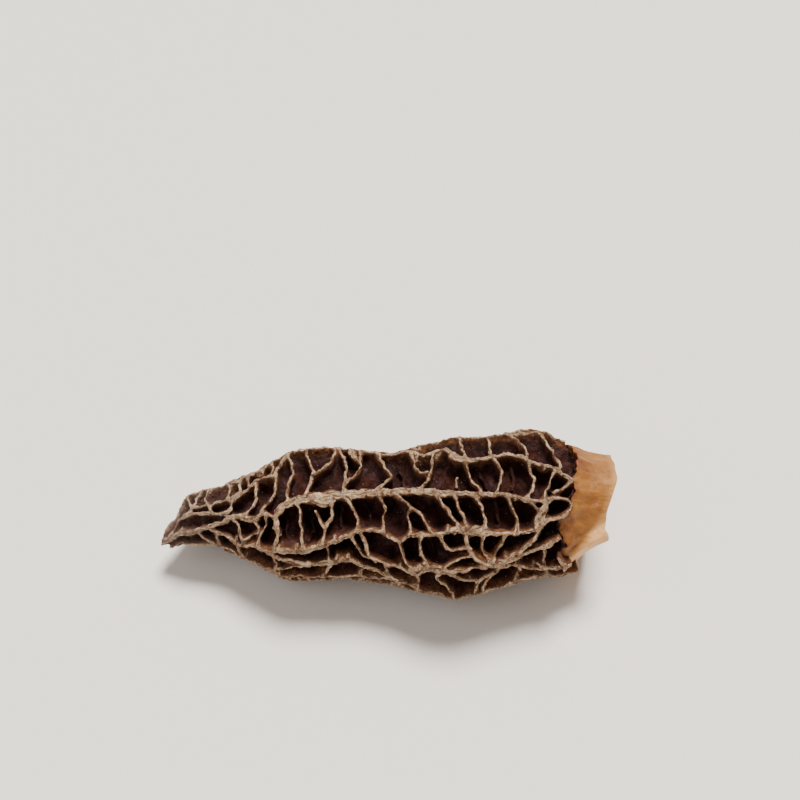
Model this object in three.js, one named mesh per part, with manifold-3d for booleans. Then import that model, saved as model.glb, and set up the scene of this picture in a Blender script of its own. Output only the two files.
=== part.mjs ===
// A dried black morel, lying on its side with its tip towards -X and its cut stem towards +X.
// The fruiting body is hollow: a thin-walled cone with a raised net of ridges, the cap, grown
// together with a short thin-walled stub, the stem. Units are millimetres, +Z is up, and the body
// rests on z = 0 with its bounding box centred on x = 0, y = 0.

import * as THREE from 'three';
import { mergeVertices } from 'three/addons/utils/BufferGeometryUtils.js';
import Module from 'manifold-3d';

const wasm = await Module();
wasm.setup();

// ---------------------------------------------------------------- driving dimensions

// The skin that the crests of the ridges lie in: x, y and z of its centre, and its mean radius.
const BODY_STATIONS = [
  [-40.5, -0.2, 6.1, 1.5],
  [-39.0, 0.6, 6.7, 2.7],
  [-37.0, 2.4, 7.9, 4.7],
  [-34.5, 2.6, 8.0, 5.3],
  [-31.5, 2.8, 8.4, 5.8],
  [-28.5, 3.0, 8.9, 6.7],
  [-25.5, 3.0, 9.3, 8.1],
  [-20.5, 2.5, 9.8, 10.2],
  [-17.5, 2.5, 10.2, 11.5],
  [-10.0, 2.4, 10.5, 11.7],
  [-3.5, 2.0, 10.5, 11.5],
  [2.0, 1.2, 11.0, 12.0],
  [6.5, 0.5, 11.6, 12.9],
  [11.0, 0.2, 12.2, 13.6],
  [15.5, 0.9, 12.3, 13.5],
  [19.5, 2.1, 12.3, 13.3],
  [24.0, 3.2, 12.3, 13.1],
  [27.5, 3.5, 12.3, 12.8],
  [30.0, 3.0, 11.9, 12.1],
  [34.0, 3.1, 11.9, 11.2],
  [40.5, 4.3, 12.6, 8.0],
];
// The body dried a little flat: its sections are wider than they are tall.
const WIDTH_FACTOR = 1.12;
const HEIGHT_FACTOR = 0.9;

// Pits are as deep as this share of the body's radius, up to a limit.
const PIT_SHARE = 0.34;
const PIT_DEPTH_LIMIT = 3.7;
const FLESH_THICKNESS = 1.4;
// The core under the ridges starts a little short of the tip, and the margin cuts its other end.
const CORE_FROM_X = -40.1;
const CORE_TO_X = 36;
const HOLLOW_FROM_X = -31;

// Widths are at the crest and at the root; a rung's crest lies lower than the main ridges', by the
// whole lift where the body is at least as thick as RUNG_LIFT_RADIUS and by less where it is thinner.
const MAIN_RIDGE = { crestWidth: 1.3, rootWidth: 2.0, lift: 0, waver: 0.3, step: 3.0 };
const RUNG_RIDGE = { crestWidth: 0.7, rootWidth: 1.3, lift: -0.7, waver: 0.25, step: 2.7 };
const RUNG_LIFT_RADIUS = 8;
const WAVER_TURN = 1.9;
const ROOT_SINK = 0.9;
const LEAST_ROOT_RADIUS = 0.2;

// Where the cap's margin meets the stem, by the angle round the body, in degrees.
const MARGIN_STATIONS = [
  [-60, 32.0], [-30, 33.0], [0, 33.0], [12, 31.4], [23, 29.8], [33, 30.3], [41, 29.0], [50, 27.9],
  [60, 28.8], [68, 29.8], [80, 29.6], [95, 30.6], [110, 32.4], [130, 32.0], [150, 29.6], [178, 30.8],
  [205, 29.2], [235, 31.0], [262, 30.2], [300, 32.0],
];
const JOINT_GAP = 0.3;
// Radii of the rings that carry the joint's face, from well outside the cap to inside its hollow.
const MARGIN_RADII = [30, 16, 12.5, 11, 9.5, 8, 6.5, 5, 3];

// The stem: x along the body and outer radius, from its neck inside the cap to its cut end.
const STEM_NECK_X = 24.5;
const STEM_NECK_RADIUS = 6.5;
const STEM_PROFILE = [
  { x: 0, followsMargin: true, radius: STEM_NECK_RADIUS },
  { x: 0.02, followsMargin: true, radius: 8.0 },
  { x: 0.04, followsMargin: true, radius: 9.5 },
  { x: 0.06, followsMargin: true, radius: 10.5 },
  { x: 1.2, followsMargin: true, radius: 10.0 },
  { x: 2.8, followsMargin: true, radius: 9.0 },
  { x: 36.2, followsMargin: false, radius: 8.0 },
  { x: 38.2, followsMargin: false, radius: 7.4 },
];
const STEM_BORE = [
  { x: 20, radius: 5.3 },
  { x: 30, radius: 5.3 },
  { x: 34.5, radius: 6.8 },
  { x: 38, radius: 6.6 },
  { x: 46, radius: 6.6 },
];
// The cut runs slantwise and leaves a small lip of flesh low on the front.
const STEM_CUT_SLANT = { reach: 2.3, longestAngle: -60 };
const STEM_LIP = { reach: 1.8, flare: 1.2, angle: 88, halfWidth: 13 };

// The lowest crests are worn flat where the body rests.
const REST_TRIM = 0.45;
// Puts the bounding box's middle over the origin.
const CENTRE_SHIFT = [0.2, -1.36];

const BODY_SIDES = 36;
const HOLLOW_SIDES = 20;
const CORE_STEP = 3.0;
const HOLLOW_STEP = 4.5;
const SIMPLIFY_TOLERANCE = 0.06;
const MERGE_TOLERANCE = 1e-5;
// Larger than the whole body, for what cuts right across it.
const PAST_BODY = 60;
const SEED = 20417;

const CAP_COLOUR = 0x4c3125;
const STEM_COLOUR = 0xb2804e;

// ---------------------------------------------------------------- the net of ridges

// Routes are points of x in mm and the angle round the body in degrees: 0 is on top, 90 at the
// front (-Y), 180 underneath and -90 at the back (+Y).
const MAIN_ROUTES = [
  // along the back
  [[-38, -80], [-31, -84], [-22, -82], [-10, -80], [0, -74], [8, -62], [14, -47], [19, -38], [24, -35],
    [28, -36], [31.5, -42]],
  // the shoulder, over the whole length
  [[-40, -40], [-36.5, -52], [-31, -47], [-26, -42], [-21, -38], [-17, -39], [-12, -43], [-7, -44], [-2,
    -36], [3, -34], [6, -27], [10, -19], [14, -11], [18, -13], [22, -11], [25, 0], [28.5, 5], [30.6,
    12]],
  // the stout middle ridge
  [[-19.8, 67], [-18.7, 52], [-18.9, 36], [-17.8, 24], [-15, 17.5], [-12, 15.5], [-8, 14.5], [-4, 12],
    [0, 11], [5, 10.5], [10, 13.5], [15, 17], [20, 22], [23.5, 29.5], [25.3, 32], [27, 27], [30.4, 29]],
  // below the middle
  [[-19.8, 67], [-17, 65.5], [-13, 62], [-9, 56], [-5.2, 46], [-2, 45.5], [1.5, 51.5], [3.6, 46], [8,
    44], [10.5, 40.5], [13, 43.5], [17, 47], [21, 51], [23.5, 51], [25.3, 44], [27, 29]],
  // the deep fold near the margin
  [[12.4, 45], [13.3, 55], [14.6, 64], [16.8, 70], [18.6, 69], [20.4, 65.5], [22.5, 60.5], [24.2, 55],
    [25, 48]],
  // along the flank
  [[-5.2, 46], [-4, 56], [-3.5, 68], [-1, 74], [2, 77], [4.4, 80], [6.4, 72], [9, 73.5], [12, 71], [15,
    71.5], [17.5, 73], [20, 72.5], [22.5, 70], [25.5, 67.5], [28, 62]],
  // below the flank, towards the tip
  [[-22.6, 68], [-19.6, 73], [-16.5, 75], [-13, 79], [-10, 77], [-7.5, 72.5], [-5, 79], [-2, 85], [2.5,
    96]],
  // below the flank, towards the margin
  [[9.5, 73], [12.7, 82], [14.5, 82.5], [17, 80], [19.5, 77], [22, 81], [24, 88], [26.5, 93], [29, 91],
    [30.6, 84]],
  // where the side turns under
  [[-39.5, 95], [-34, 86], [-31, 86], [-29, 95], [-25, 101], [-20, 100], [-15, 98], [-10, 99], [-5, 97],
    [0, 96], [5, 100], [8, 104], [11, 114], [15, 113], [20, 107], [25, 104], [29, 107], [32.6, 110]],
  // the tip, low
  [[-40.2, 66], [-37.5, 54], [-34.5, 50.5], [-32, 47.5], [-29.6, 41], [-28.2, 33]],
  // the tip, middle
  [[-40.2, 10], [-38, 4], [-36, 8], [-34, 12], [-32, 20], [-29.8, 25.5], [-28, 31], [-26.2, 31], [-24.6,
    36], [-23, 36.5], [-22, 31.5], [-20.4, 32.5], [-18.9, 35]],
  // the tip, high
  [[-36.2, 7], [-35, -1], [-32.6, -3], [-31.3, 4], [-29.5, 0], [-27.8, -2], [-26.4, 0], [-24.6, -2],
    [-23.5, -10], [-21.6, -9.5], [-20.2, -9], [-19.3, -25], [-18.4, -37]],
  // the tip, turning under
  [[-30.2, 59], [-28, 65], [-26, 73], [-24, 75], [-21.6, 71], [-19.8, 69]],
];

const RUNG_ROUTES = [
  [[12.4, -50], [12.6, -30], [12.9, -13]],
  [[21, -37], [23, -22], [23.6, -5]],
  [[26.4, -35], [28, -16], [29.2, 4]],
  [[5, -67], [5.4, -50], [4.4, -34]],
  [[-2.4, -75], [-2.2, -55], [-3, -38]],
  [[-9.5, -80], [-10, -62], [-9, -44]],
  [[-16, -81], [-15.4, -60], [-16.2, -40]],
  [[-22, -82], [-21.8, -60], [-22.4, -39]],
  [[-28, -83], [-27.6, -64], [-28.6, -45]],
  [[17.4, -41], [17.4, -26], [17.2, -13]],
  [[-18.6, -37], [-17.1, -15], [-16.9, -2], [-17.5, 9], [-17.3, 20]],
  [[-15, -40], [-14.8, -29], [-13.6, -14], [-13.2, -2], [-13.8, 9], [-14.4, 17]],
  [[-9.8, -43], [-10.2, -24], [-11, -14], [-12.3, -5], [-13.2, -1]],
  [[-9.4, -43], [-7.8, -21], [-7.6, -7], [-7.8, 12]],
  [[-5.4, -42], [-5.2, -14], [-6.2, -2], [-7.6, 7]],
  [[-2.4, -36], [-0.8, -15], [0.3, -3], [-0.8, 3], [-2.8, 10]],
  [[3.6, -34], [4.4, -14], [5.2, -6], [6.8, -3]],
  [[7.6, -24], [7.1, -10], [6.7, 0], [5.2, 10]],
  [[12.9, -12], [13.3, 0], [14, 9], [15.2, 16]],
  [[11, 12], [11.4, 3]],
  [[17.2, -12], [18.5, -2], [18.9, 7], [18.2, 15], [17.6, 20]],
  [[23.2, -4], [23.8, 7], [24.3, 17], [23.7, 24], [22.6, 28]],
  [[28.2, 6], [26.8, 19], [25.6, 31]],
  [[30.4, 14], [28.9, 21], [27.2, 27]],
  [[-16.2, 20], [-15.1, 30], [-14.9, 44], [-14.7, 54], [-14.4, 63]],
  [[-9.9, 15], [-9.6, 34], [-10.6, 44], [-11.1, 54], [-11.8, 60]],
  [[-12.4, 30], [-11.7, 40], [-10.8, 45]],
  [[-12, 17], [-11.7, 25]],
  [[-8, 17], [-6.2, 27], [-5.4, 36], [-5.3, 46]],
  [[-2.4, 13], [-0.9, 22], [-1, 34], [-1, 45]],
  [[0.4, 12], [3.2, 22], [5.2, 30], [6.5, 40], [7.4, 44]],
  [[3.8, 25], [2.9, 33], [3.6, 40], [3.2, 48]],
  [[7.2, 12], [9.4, 26], [10.6, 34], [12.6, 43]],
  [[10.6, 15], [11.8, 30], [13.1, 43]],
  [[13.4, 16], [15, 25], [15.3, 32], [15.9, 38], [14.9, 45]],
  [[19.2, 22], [20.4, 34], [21.1, 45], [20.9, 51]],
  [[22.4, 27], [24.2, 36], [24.9, 43], [23.9, 50]],
  [[-10.2, 58], [-10.4, 70], [-10.2, 77]],
  [[-6.4, 49], [-5.5, 62], [-4.3, 71], [-2.2, 73]],
  [[1.6, 52], [2.3, 64], [2.9, 73], [4.2, 79]],
  [[-3.6, 51], [-1, 57], [0.6, 61], [2.2, 62]],
  [[5.3, 45], [5, 55], [5.6, 64], [6.6, 72]],
  [[8.3, 44], [9, 52], [10.3, 56.5], [12.3, 54], [13.4, 56]],
  [[15.2, 46], [15, 56], [15.8, 67]],
  [[19.6, 50], [18.5, 58], [17.4, 69]],
  [[13.6, 60], [11, 64], [8.6, 71]],
  [[8.4, 73], [7.8, 81], [8.8, 89], [10.2, 99], [10.8, 112]],
  [[14.2, 82], [14.7, 91], [14.4, 111]],
  [[17.4, 79], [16, 93], [15.8, 111]],
  [[21.6, 81], [21.8, 94], [20.6, 106]],
  [[4.4, 80], [4.9, 88], [4.6, 98]],
  [[-8.4, 74], [-10, 86], [-11.6, 98]],
  [[-2.6, 84], [-4.8, 90], [-5.2, 97]],
  [[-0.8, 74], [-0.6, 83], [-0.2, 90]],
  [[-13.2, 79], [-16.5, 87], [-19.3, 90]],
  [[-19.7, 73], [-19.4, 88], [-18.6, 100]],
  [[25.6, 68], [26, 80], [25.6, 91]],
  [[-35.8, -50], [-35.6, -24], [-35.1, -2]],
  [[-34, -50], [-34.4, -22], [-34.9, -4]],
  [[-32.8, -49], [-33, -18], [-32.6, -4]],
  [[-28.4, -2], [-28, -18], [-27.2, -42]],
  [[-26, -1], [-26.2, -18], [-27.2, -34]],
  [[-24, -6], [-24.4, -18], [-25.3, -41]],
  [[-21, -10], [-20.8, -25], [-21.7, -38]],
  [[-26.9, 0], [-27.1, 13], [-26.5, 25], [-25.7, 33]],
  [[-23.5, -6], [-23.2, 9], [-23.5, 22], [-24.2, 28], [-25.2, 34]],
  [[-19.9, -10], [-19.7, 4], [-20.2, 14], [-20.4, 20], [-21.6, 24], [-21.9, 32]],
  [[-31.3, 4], [-31.4, 13], [-31, 23]],
  [[-28, -1], [-28, 12], [-28.8, 20], [-29.8, 25]],
  [[-37.2, 7], [-37.3, 30], [-37.3, 53]],
  [[-35, 10], [-35.1, 30], [-35, 51]],
  [[-33, 17], [-33, 32], [-33, 48]],
  [[-30.2, 25], [-30.6, 35], [-30.4, 43]],
  [[-28.2, 34], [-27.5, 45], [-26.2, 55]],
  [[-23.8, 37], [-22.9, 48], [-23.4, 57], [-25.4, 61]],
  [[-21, 33], [-21.2, 46], [-22.2, 57], [-22.8, 70]],
  [[-30.2, 60], [-29.8, 74], [-29.4, 92]],
  [[-26.2, 74], [-26.2, 88], [-25.8, 100]],
  [[-34.5, 52], [-34.8, 70], [-34.5, 85]],
  [[-32, 48], [-31.2, 54], [-30.2, 59]],
];

// The side that is turned away has its own ridges, wavy lines at these angles from these x on,
// with rungs at seeded distances between neighbours.
const FAR_RIDGES = [
  { angle: 104, fromX: -39.5, toX: 30.6, drawn: false },
  { angle: 128, fromX: -30, toX: 31, drawn: true },
  { angle: 153, fromX: -39.5, toX: 31, drawn: true },
  { angle: 179, fromX: -33, toX: 31, drawn: true },
  { angle: 205, fromX: -39.5, toX: 31, drawn: true },
  { angle: 231, fromX: -31, toX: 31.5, drawn: true },
  { angle: 257, fromX: -39.5, toX: 31.5, drawn: true },
  { angle: 282, fromX: -38, toX: 8, drawn: false },
];
const FAR_BACK_RIDGE = { angle: 288, fromX: 5, toX: 32, drawn: true };
const FAR_WAVES = [
  { degrees: 5, length: 21, phasePerDegree: 1.31 },
  { degrees: 2.5, length: 8.7, phasePerDegree: 2.17 },
];
const FAR_ROUTE_STEP = 3.5;
// Two more rows of rungs fill the back near the margin, up to the ridge in sight there.
const FAR_BACK_ROWS = [
  [{ ...FAR_RIDGES[6], fromX: 8 }, FAR_BACK_RIDGE],
  [{ ...FAR_BACK_RIDGE, fromX: 12 }, { angle: 322, fromX: 12, toX: 31 }],
];
const FAR_RUNG = { spacing: 5.6, slant: 2.2, bow: 1.4, clearOfEnd: 2 };

// ---------------------------------------------------------------- numbers and curves

// A route is smoothed on paper, where a degree is drawn about as long as it is on the body.
const MM_PER_DEGREE = 0.2;

/** A seeded random generator that returns numbers from 0 to 1. */
function randomGenerator(seed) {
  let state = seed;
  return () => {
    state = (state * 1664525 + 1013904223) % 4294967296;
    return state / 4294967296;
  };
}

/** The smooth value at x of one column of rows sorted by their first number. */
function valueAt(rows, x, column) {
  const last = rows.length - 1;
  const clamped = Math.min(Math.max(x, rows[0][0]), rows[last][0]);
  const found = rows.findIndex((row) => row[0] > clamped);
  const i = found < 0 ? last - 1 : found - 1;
  const slope = (a, b) => (rows[b][column] - rows[a][column]) / (rows[b][0] - rows[a][0]);
  const width = rows[i + 1][0] - rows[i][0];
  const t = (clamped - rows[i][0]) / width;
  const startSlope = slope(Math.max(i - 1, 0), i + 1) * width;
  const endSlope = slope(i, Math.min(i + 2, last)) * width;
  const rise = rows[i + 1][column] - rows[i][column];
  const cubic = startSlope + endSlope - 2 * rise;
  const square = 3 * rise - 2 * startSlope - endSlope;
  return rows[i][column] + t * (startSlope + t * (square + t * cubic));
}

const bodyRadius = (x) => valueAt(BODY_STATIONS, x, 3);
const pitDepth = (x) => Math.min(PIT_SHARE * bodyRadius(x), PIT_DEPTH_LIMIT);

/** The cap's margin at an angle in degrees, as an x. */
function marginX(angle) {
  const first = MARGIN_STATIONS[0][0];
  return valueAt(MARGIN_STATIONS, THREE.MathUtils.euclideanModulo(angle - first, 360) + first, 1);
}

/** The point at a radius from the body's centre line, at an x and an angle in degrees. */
function pointAtRadius(x, angle, radius) {
  const turn = THREE.MathUtils.degToRad(angle);
  return new THREE.Vector3(
    x,
    valueAt(BODY_STATIONS, x, 1) - WIDTH_FACTOR * radius * Math.sin(turn),
    valueAt(BODY_STATIONS, x, 2) + HEIGHT_FACTOR * radius * Math.cos(turn),
  );
}

/** The numbers from start to end in equal steps of about the given length, both ends included. */
function evenSteps(start, end, step) {
  const count = Math.max(1, Math.round(Math.abs(end - start) / step));
  return Array.from({ length: count + 1 }, (_, i) => start + ((end - start) * i) / count);
}

// ---------------------------------------------------------------- solids

/** A manifold solid from a closed geometry. */
function solidFrom(geometry) {
  geometry.deleteAttribute('normal');
  geometry.deleteAttribute('uv');
  const merged = mergeVertices(geometry, MERGE_TOLERANCE);
  const mesh = new wasm.Mesh({
    numProp: 3,
    vertProperties: new Float32Array(merged.attributes.position.array),
    triVerts: new Uint32Array(merged.index.array),
  });
  return new wasm.Manifold(mesh);
}

/** A manifold solid from corner points and triangles. */
function toSolid(points, triangles) {
  const geometry = new THREE.BufferGeometry();
  geometry.setAttribute('position', new THREE.Float32BufferAttribute(points.flatMap((p) => [...p]), 3));
  geometry.setIndex(triangles.flat());
  return solidFrom(geometry);
}

/** A closed solid through rings of points with equal counts; they turn clockwise seen from -X. */
function loft(rings) {
  const sides = rings[0].length;
  const points = rings.flat();
  const triangles = [];
  for (let k = 0; k + 1 < rings.length; k += 1) {
    for (let i = 0; i < sides; i += 1) {
      const j = (i + 1) % sides;
      const [a, b] = [k * sides + i, k * sides + j];
      triangles.push([a, b, a + sides], [b, b + sides, a + sides]);
    }
  }
  const addLid = (ring, offset, flip) => {
    const middle = ring.reduce((sum, p) => sum.add(p), new THREE.Vector3()).divideScalar(sides);
    points.push(middle);
    for (let i = 0; i < sides; i += 1) {
      const corners = [offset + i, offset + ((i + 1) % sides), points.length - 1];
      triangles.push(flip ? corners : corners.reverse());
    }
  };
  addLid(rings[0], 0, false);
  addLid(rings.at(-1), (rings.length - 1) * sides, true);
  return toSolid(points, triangles);
}

/** A ring round the body: xAt gives its x for each angle, and radiusAt its radius for x and angle. */
function ring(sides, xAt, radiusAt) {
  return Array.from({ length: sides }, (_, i) => {
    const angle = (360 * i) / sides;
    const x = xAt(angle);
    return pointAtRadius(x, angle, radiusAt(x, angle));
  });
}

/** A tapered blade that follows a route on the body, from below the pits up to its crest. */
function blade(route, style) {
  const spline = new THREE.SplineCurve(route.map(([x, angle]) => new THREE.Vector2(x, angle * MM_PER_DEGREE)));
  const count = Math.max(1, Math.round(spline.getLength() / style.step));
  const stations = spline.getSpacedPoints(count).map((p) => [p.x, p.y / MM_PER_DEGREE]);
  const middles = stations.map(([x, angle]) => pointAtRadius(x, angle, bodyRadius(x)));
  const phase = route[0][0] + route[0][1];
  const points = [];
  stations.forEach(([x, angle], i) => {
    const radius = bodyRadius(x);
    const along = middles[Math.min(i + 1, count)].clone().sub(middles[Math.max(i - 1, 0)]);
    const outward = middles[i].clone().sub(pointAtRadius(x, angle, 0));
    const side = along.cross(outward).normalize();
    const lift = style.lift * Math.min(1, radius / RUNG_LIFT_RADIUS)
      + style.waver * Math.sin(phase + i * WAVER_TURN);
    const crest = pointAtRadius(x, angle, radius + lift);
    const root = pointAtRadius(x, angle, Math.max(radius - pitDepth(x) - ROOT_SINK, LEAST_ROOT_RADIUS));
    points.push(
      crest.clone().addScaledVector(side, style.crestWidth / 2),
      crest.clone().addScaledVector(side, -style.crestWidth / 2),
      root.clone().addScaledVector(side, -style.rootWidth / 2),
      root.clone().addScaledVector(side, style.rootWidth / 2),
    );
  });
  const triangles = [[0, 1, 2], [0, 2, 3]];
  for (let i = 0; i < count; i += 1) {
    for (let k = 0; k < 4; k += 1) {
      const [a, b] = [i * 4 + k, i * 4 + ((k + 1) % 4)];
      triangles.push([a, a + 4, b], [b, a + 4, b + 4]);
    }
  }
  const end = count * 4;
  triangles.push([end, end + 2, end + 1], [end, end + 3, end + 2]);
  return toSolid(points, triangles);
}

/** The largest body of a solid, without the loose scraps that cutting leaves. */
function largestBody(solid) {
  return solid.decompose().reduce((best, body) => (body.volume() > best.volume() ? body : best));
}

// ---------------------------------------------------------------- the far side's net

/** The angle of a far ridge at an x: a wavy line about its own angle. */
function farAngle(ridge, x) {
  const waves = FAR_WAVES.map(({ degrees, length, phasePerDegree }) => (
    degrees * Math.sin((2 * Math.PI * x) / length + phasePerDegree * ridge.angle)
  ));
  return waves.reduce((sum, wave) => sum + wave, ridge.angle);
}

/** The far side's main ridges and the rungs between them, as routes. */
function farRoutes() {
  const random = randomGenerator(SEED);
  const mains = [...FAR_RIDGES, FAR_BACK_RIDGE]
    .filter((ridge) => ridge.drawn)
    .map((ridge) => evenSteps(ridge.fromX, ridge.toX, FAR_ROUTE_STEP).map((x) => [x, farAngle(ridge, x)]));
  const rungs = [];
  const addRungs = (low, high) => {
    let x = Math.max(low.fromX, high.fromX) + FAR_RUNG.spacing * (0.5 + 0.5 * random());
    while (x < Math.min(low.toX, high.toX) - FAR_RUNG.clearOfEnd) {
      const slant = FAR_RUNG.slant * (random() - 0.5);
      const [from, to] = [farAngle(low, x - slant), farAngle(high, x + slant)];
      const bow = FAR_RUNG.bow * (random() - 0.5);
      rungs.push([[x - slant, from], [x + bow, (from + to) / 2], [x + slant, to]]);
      x += FAR_RUNG.spacing * (0.75 + 0.5 * random());
    }
  };
  FAR_RIDGES.slice(1).forEach((ridge, i) => addRungs(FAR_RIDGES[i], ridge));
  FAR_BACK_ROWS.forEach(([low, high]) => addRungs(low, high));
  return { mains, rungs };
}

// ---------------------------------------------------------------- cap and stem

/** The cap: a hollow cone of flesh with the net of ridges standing out of it. */
function makeCap() {
  const capEnd = (angle) => marginX(angle) - JOINT_GAP;
  const coreXs = evenSteps(CORE_FROM_X, CORE_TO_X, CORE_STEP);
  const coreRadius = (x) => bodyRadius(x) - pitDepth(x);
  const core = loft(coreXs.map((x) => ring(BODY_SIDES, () => x, coreRadius)));

  const far = farRoutes();
  const ridges = [...MAIN_ROUTES, ...far.mains].map((route) => blade(route, MAIN_RIDGE));
  const rungs = [...RUNG_ROUTES, ...far.rungs].map((route) => blade(route, RUNG_RIDGE));

  const limit = loft([
    ring(BODY_SIDES, () => -PAST_BODY, () => MARGIN_RADII[0]),
    ...MARGIN_RADII.map((radius) => ring(BODY_SIDES, capEnd, () => radius)),
  ]);

  const hollowRadius = (x) => bodyRadius(x) - pitDepth(x) - FLESH_THICKNESS;
  const hollowXs = evenSteps(HOLLOW_FROM_X, CORE_TO_X, HOLLOW_STEP);
  const hollow = loft(hollowXs.map((x) => ring(HOLLOW_SIDES, () => x, hollowRadius)));
  const neckSocket = loft([STEM_NECK_X - JOINT_GAP, CORE_TO_X].map((x) => (
    ring(BODY_SIDES, () => x, () => STEM_NECK_RADIUS + JOINT_GAP)
  )));

  const grown = wasm.Manifold.union([core, ...ridges, ...rungs]).intersect(limit);
  return grown.subtract(hollow).subtract(neckSocket).intersect(restSpace());
}

/** The stem: a thin-walled stub with a neck inside the cap, a flare at the margin and a cut end. */
function makeStem() {
  const fromLongest = (angle) => THREE.MathUtils.degToRad(angle - STEM_CUT_SLANT.longestAngle);
  const lip = (angle) => Math.exp(-(((angle - STEM_LIP.angle) / STEM_LIP.halfWidth) ** 2));
  const cutAt = (angle) => STEM_CUT_SLANT.reach * Math.cos(fromLongest(angle)) + STEM_LIP.reach * lip(angle);
  const outer = [ring(BODY_SIDES, () => STEM_NECK_X, () => STEM_NECK_RADIUS)];
  STEM_PROFILE.forEach((station, i) => {
    const atCut = i === STEM_PROFILE.length - 1;
    const xAt = (angle) => {
      if (station.followsMargin) return marginX(angle) + station.x;
      return station.x + (atCut ? cutAt(angle) : 0);
    };
    const radiusAt = (x, angle) => station.radius + (atCut ? STEM_LIP.flare * lip(angle) : 0);
    outer.push(ring(BODY_SIDES, xAt, radiusAt));
  });
  const bore = loft(STEM_BORE.map(({ x, radius }) => ring(HOLLOW_SIDES, () => x, () => radius)));
  return loft(outer).subtract(bore);
}

/** Everything above the resting plane. */
function restSpace() {
  const size = 2 * PAST_BODY;
  return solidFrom(new THREE.BoxGeometry(size, size, size).translate(0, 0, size / 2 + REST_TRIM));
}

/** A named mesh of a solid, lowered onto the resting plane. */
function toMesh(name, solid, colour, roughness) {
  const output = largestBody(solid.asOriginal().simplify(SIMPLIFY_TOLERANCE)).getMesh();
  const geometry = new THREE.BufferGeometry();
  geometry.setAttribute('position', new THREE.BufferAttribute(output.vertProperties, 3));
  geometry.setIndex(new THREE.BufferAttribute(output.triVerts, 1));
  geometry.translate(CENTRE_SHIFT[0], CENTRE_SHIFT[1], -REST_TRIM);
  geometry.computeVertexNormals();
  const material = new THREE.MeshStandardMaterial({ color: colour, roughness, metalness: 0 });
  const mesh = new THREE.Mesh(geometry, material);
  mesh.name = name;
  return mesh;
}

const morel = new THREE.Group();
morel.name = 'morel';
morel.add(toMesh('cap', makeCap(), CAP_COLOUR, 0.8));
morel.add(toMesh('stem', makeStem(), STEM_COLOUR, 0.75));

export default morel;
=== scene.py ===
"""The looks of a dried black morel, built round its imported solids.

The fruiting body lies on its side along X: a tapering hollow cap with a raised net of ridges, grown
together with a short cut stem. Sizes are in millimetres in the classes below and are turned into
Blender's metres where a mesh is made. Angles round the body are in degrees: 0 on top, 90 at the front,
180 underneath and -90 at the back.
"""
import logging
import math
from dataclasses import dataclass, field, replace
from enum import Enum
from typing import Iterator

import bpy
import numpy as np
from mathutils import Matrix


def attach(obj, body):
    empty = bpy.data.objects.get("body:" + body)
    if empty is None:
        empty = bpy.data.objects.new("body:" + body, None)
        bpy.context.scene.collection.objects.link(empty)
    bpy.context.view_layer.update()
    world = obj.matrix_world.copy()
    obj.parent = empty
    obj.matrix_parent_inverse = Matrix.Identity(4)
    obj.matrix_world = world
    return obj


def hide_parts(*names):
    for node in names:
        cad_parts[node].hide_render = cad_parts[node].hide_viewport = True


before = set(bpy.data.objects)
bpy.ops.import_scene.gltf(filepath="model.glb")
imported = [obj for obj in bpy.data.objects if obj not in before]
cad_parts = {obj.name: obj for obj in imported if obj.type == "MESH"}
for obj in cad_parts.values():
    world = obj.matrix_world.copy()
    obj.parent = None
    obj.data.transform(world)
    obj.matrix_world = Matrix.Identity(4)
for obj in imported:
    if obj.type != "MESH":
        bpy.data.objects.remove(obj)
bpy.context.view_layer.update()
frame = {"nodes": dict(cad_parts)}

MM = 0.001
LOG = logging.getLogger("morel")

# Moves the body's own coordinates onto the frame: the bounding box's middle over the origin, and the
# crests that the body rests on down to the floor.
FRAME_SHIFT = (0.2, -1.36, -0.45)

Value = float | int | bool | str | tuple | list | bpy.types.NodeSocket | bpy.types.Node


# ---------------------------------------------------------------- small helpers


def linear(hex_colour: str) -> tuple[float, float, float, float]:
    """Turns an sRGB hex colour into a linear colour with full alpha.

    Args:
        hex_colour: Six hex digits after a hash sign.

    Returns:
        The red, green, blue and alpha that Blender's sockets expect.
    """
    parts = [int(hex_colour[i : i + 2], 16) / 255 for i in (1, 3, 5)]
    red, green, blue = (p / 12.92 if p <= 0.04045 else ((p + 0.055) / 1.055) ** 2.4 for p in parts)
    return red, green, blue, 1.0


def per_metre(size_mm: float) -> float:
    """The scale of a pattern whose features are size_mm across, for coordinates in metres."""
    return 1.0 / (size_mm * MM)


def add_node(
    tree: bpy.types.NodeTree, kind: str, inputs: dict[int | str, Value] | None = None, **settings: Value
) -> bpy.types.Node:
    """Adds a node to a tree with its settings, values and links.

    Args:
        tree: The node tree to add to.
        kind: The node's type name.
        inputs: What each input gets, by name or number: a value, an output socket, a node whose first
            output is meant, or a list of such for an input that takes several links.
        **settings: The node's own properties.

    Returns:
        The new node.
    """
    node = tree.nodes.new(kind)
    for name, value in settings.items():
        setattr(node, name, value)
    for key, value in (inputs or {}).items():
        for source in value if isinstance(value, list) else [value]:
            if isinstance(source, bpy.types.Node):
                source = source.outputs[0]
            if isinstance(source, bpy.types.NodeSocket):
                tree.links.new(source, node.inputs[key])
            else:
                node.inputs[key].default_value = source
    return node


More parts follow.
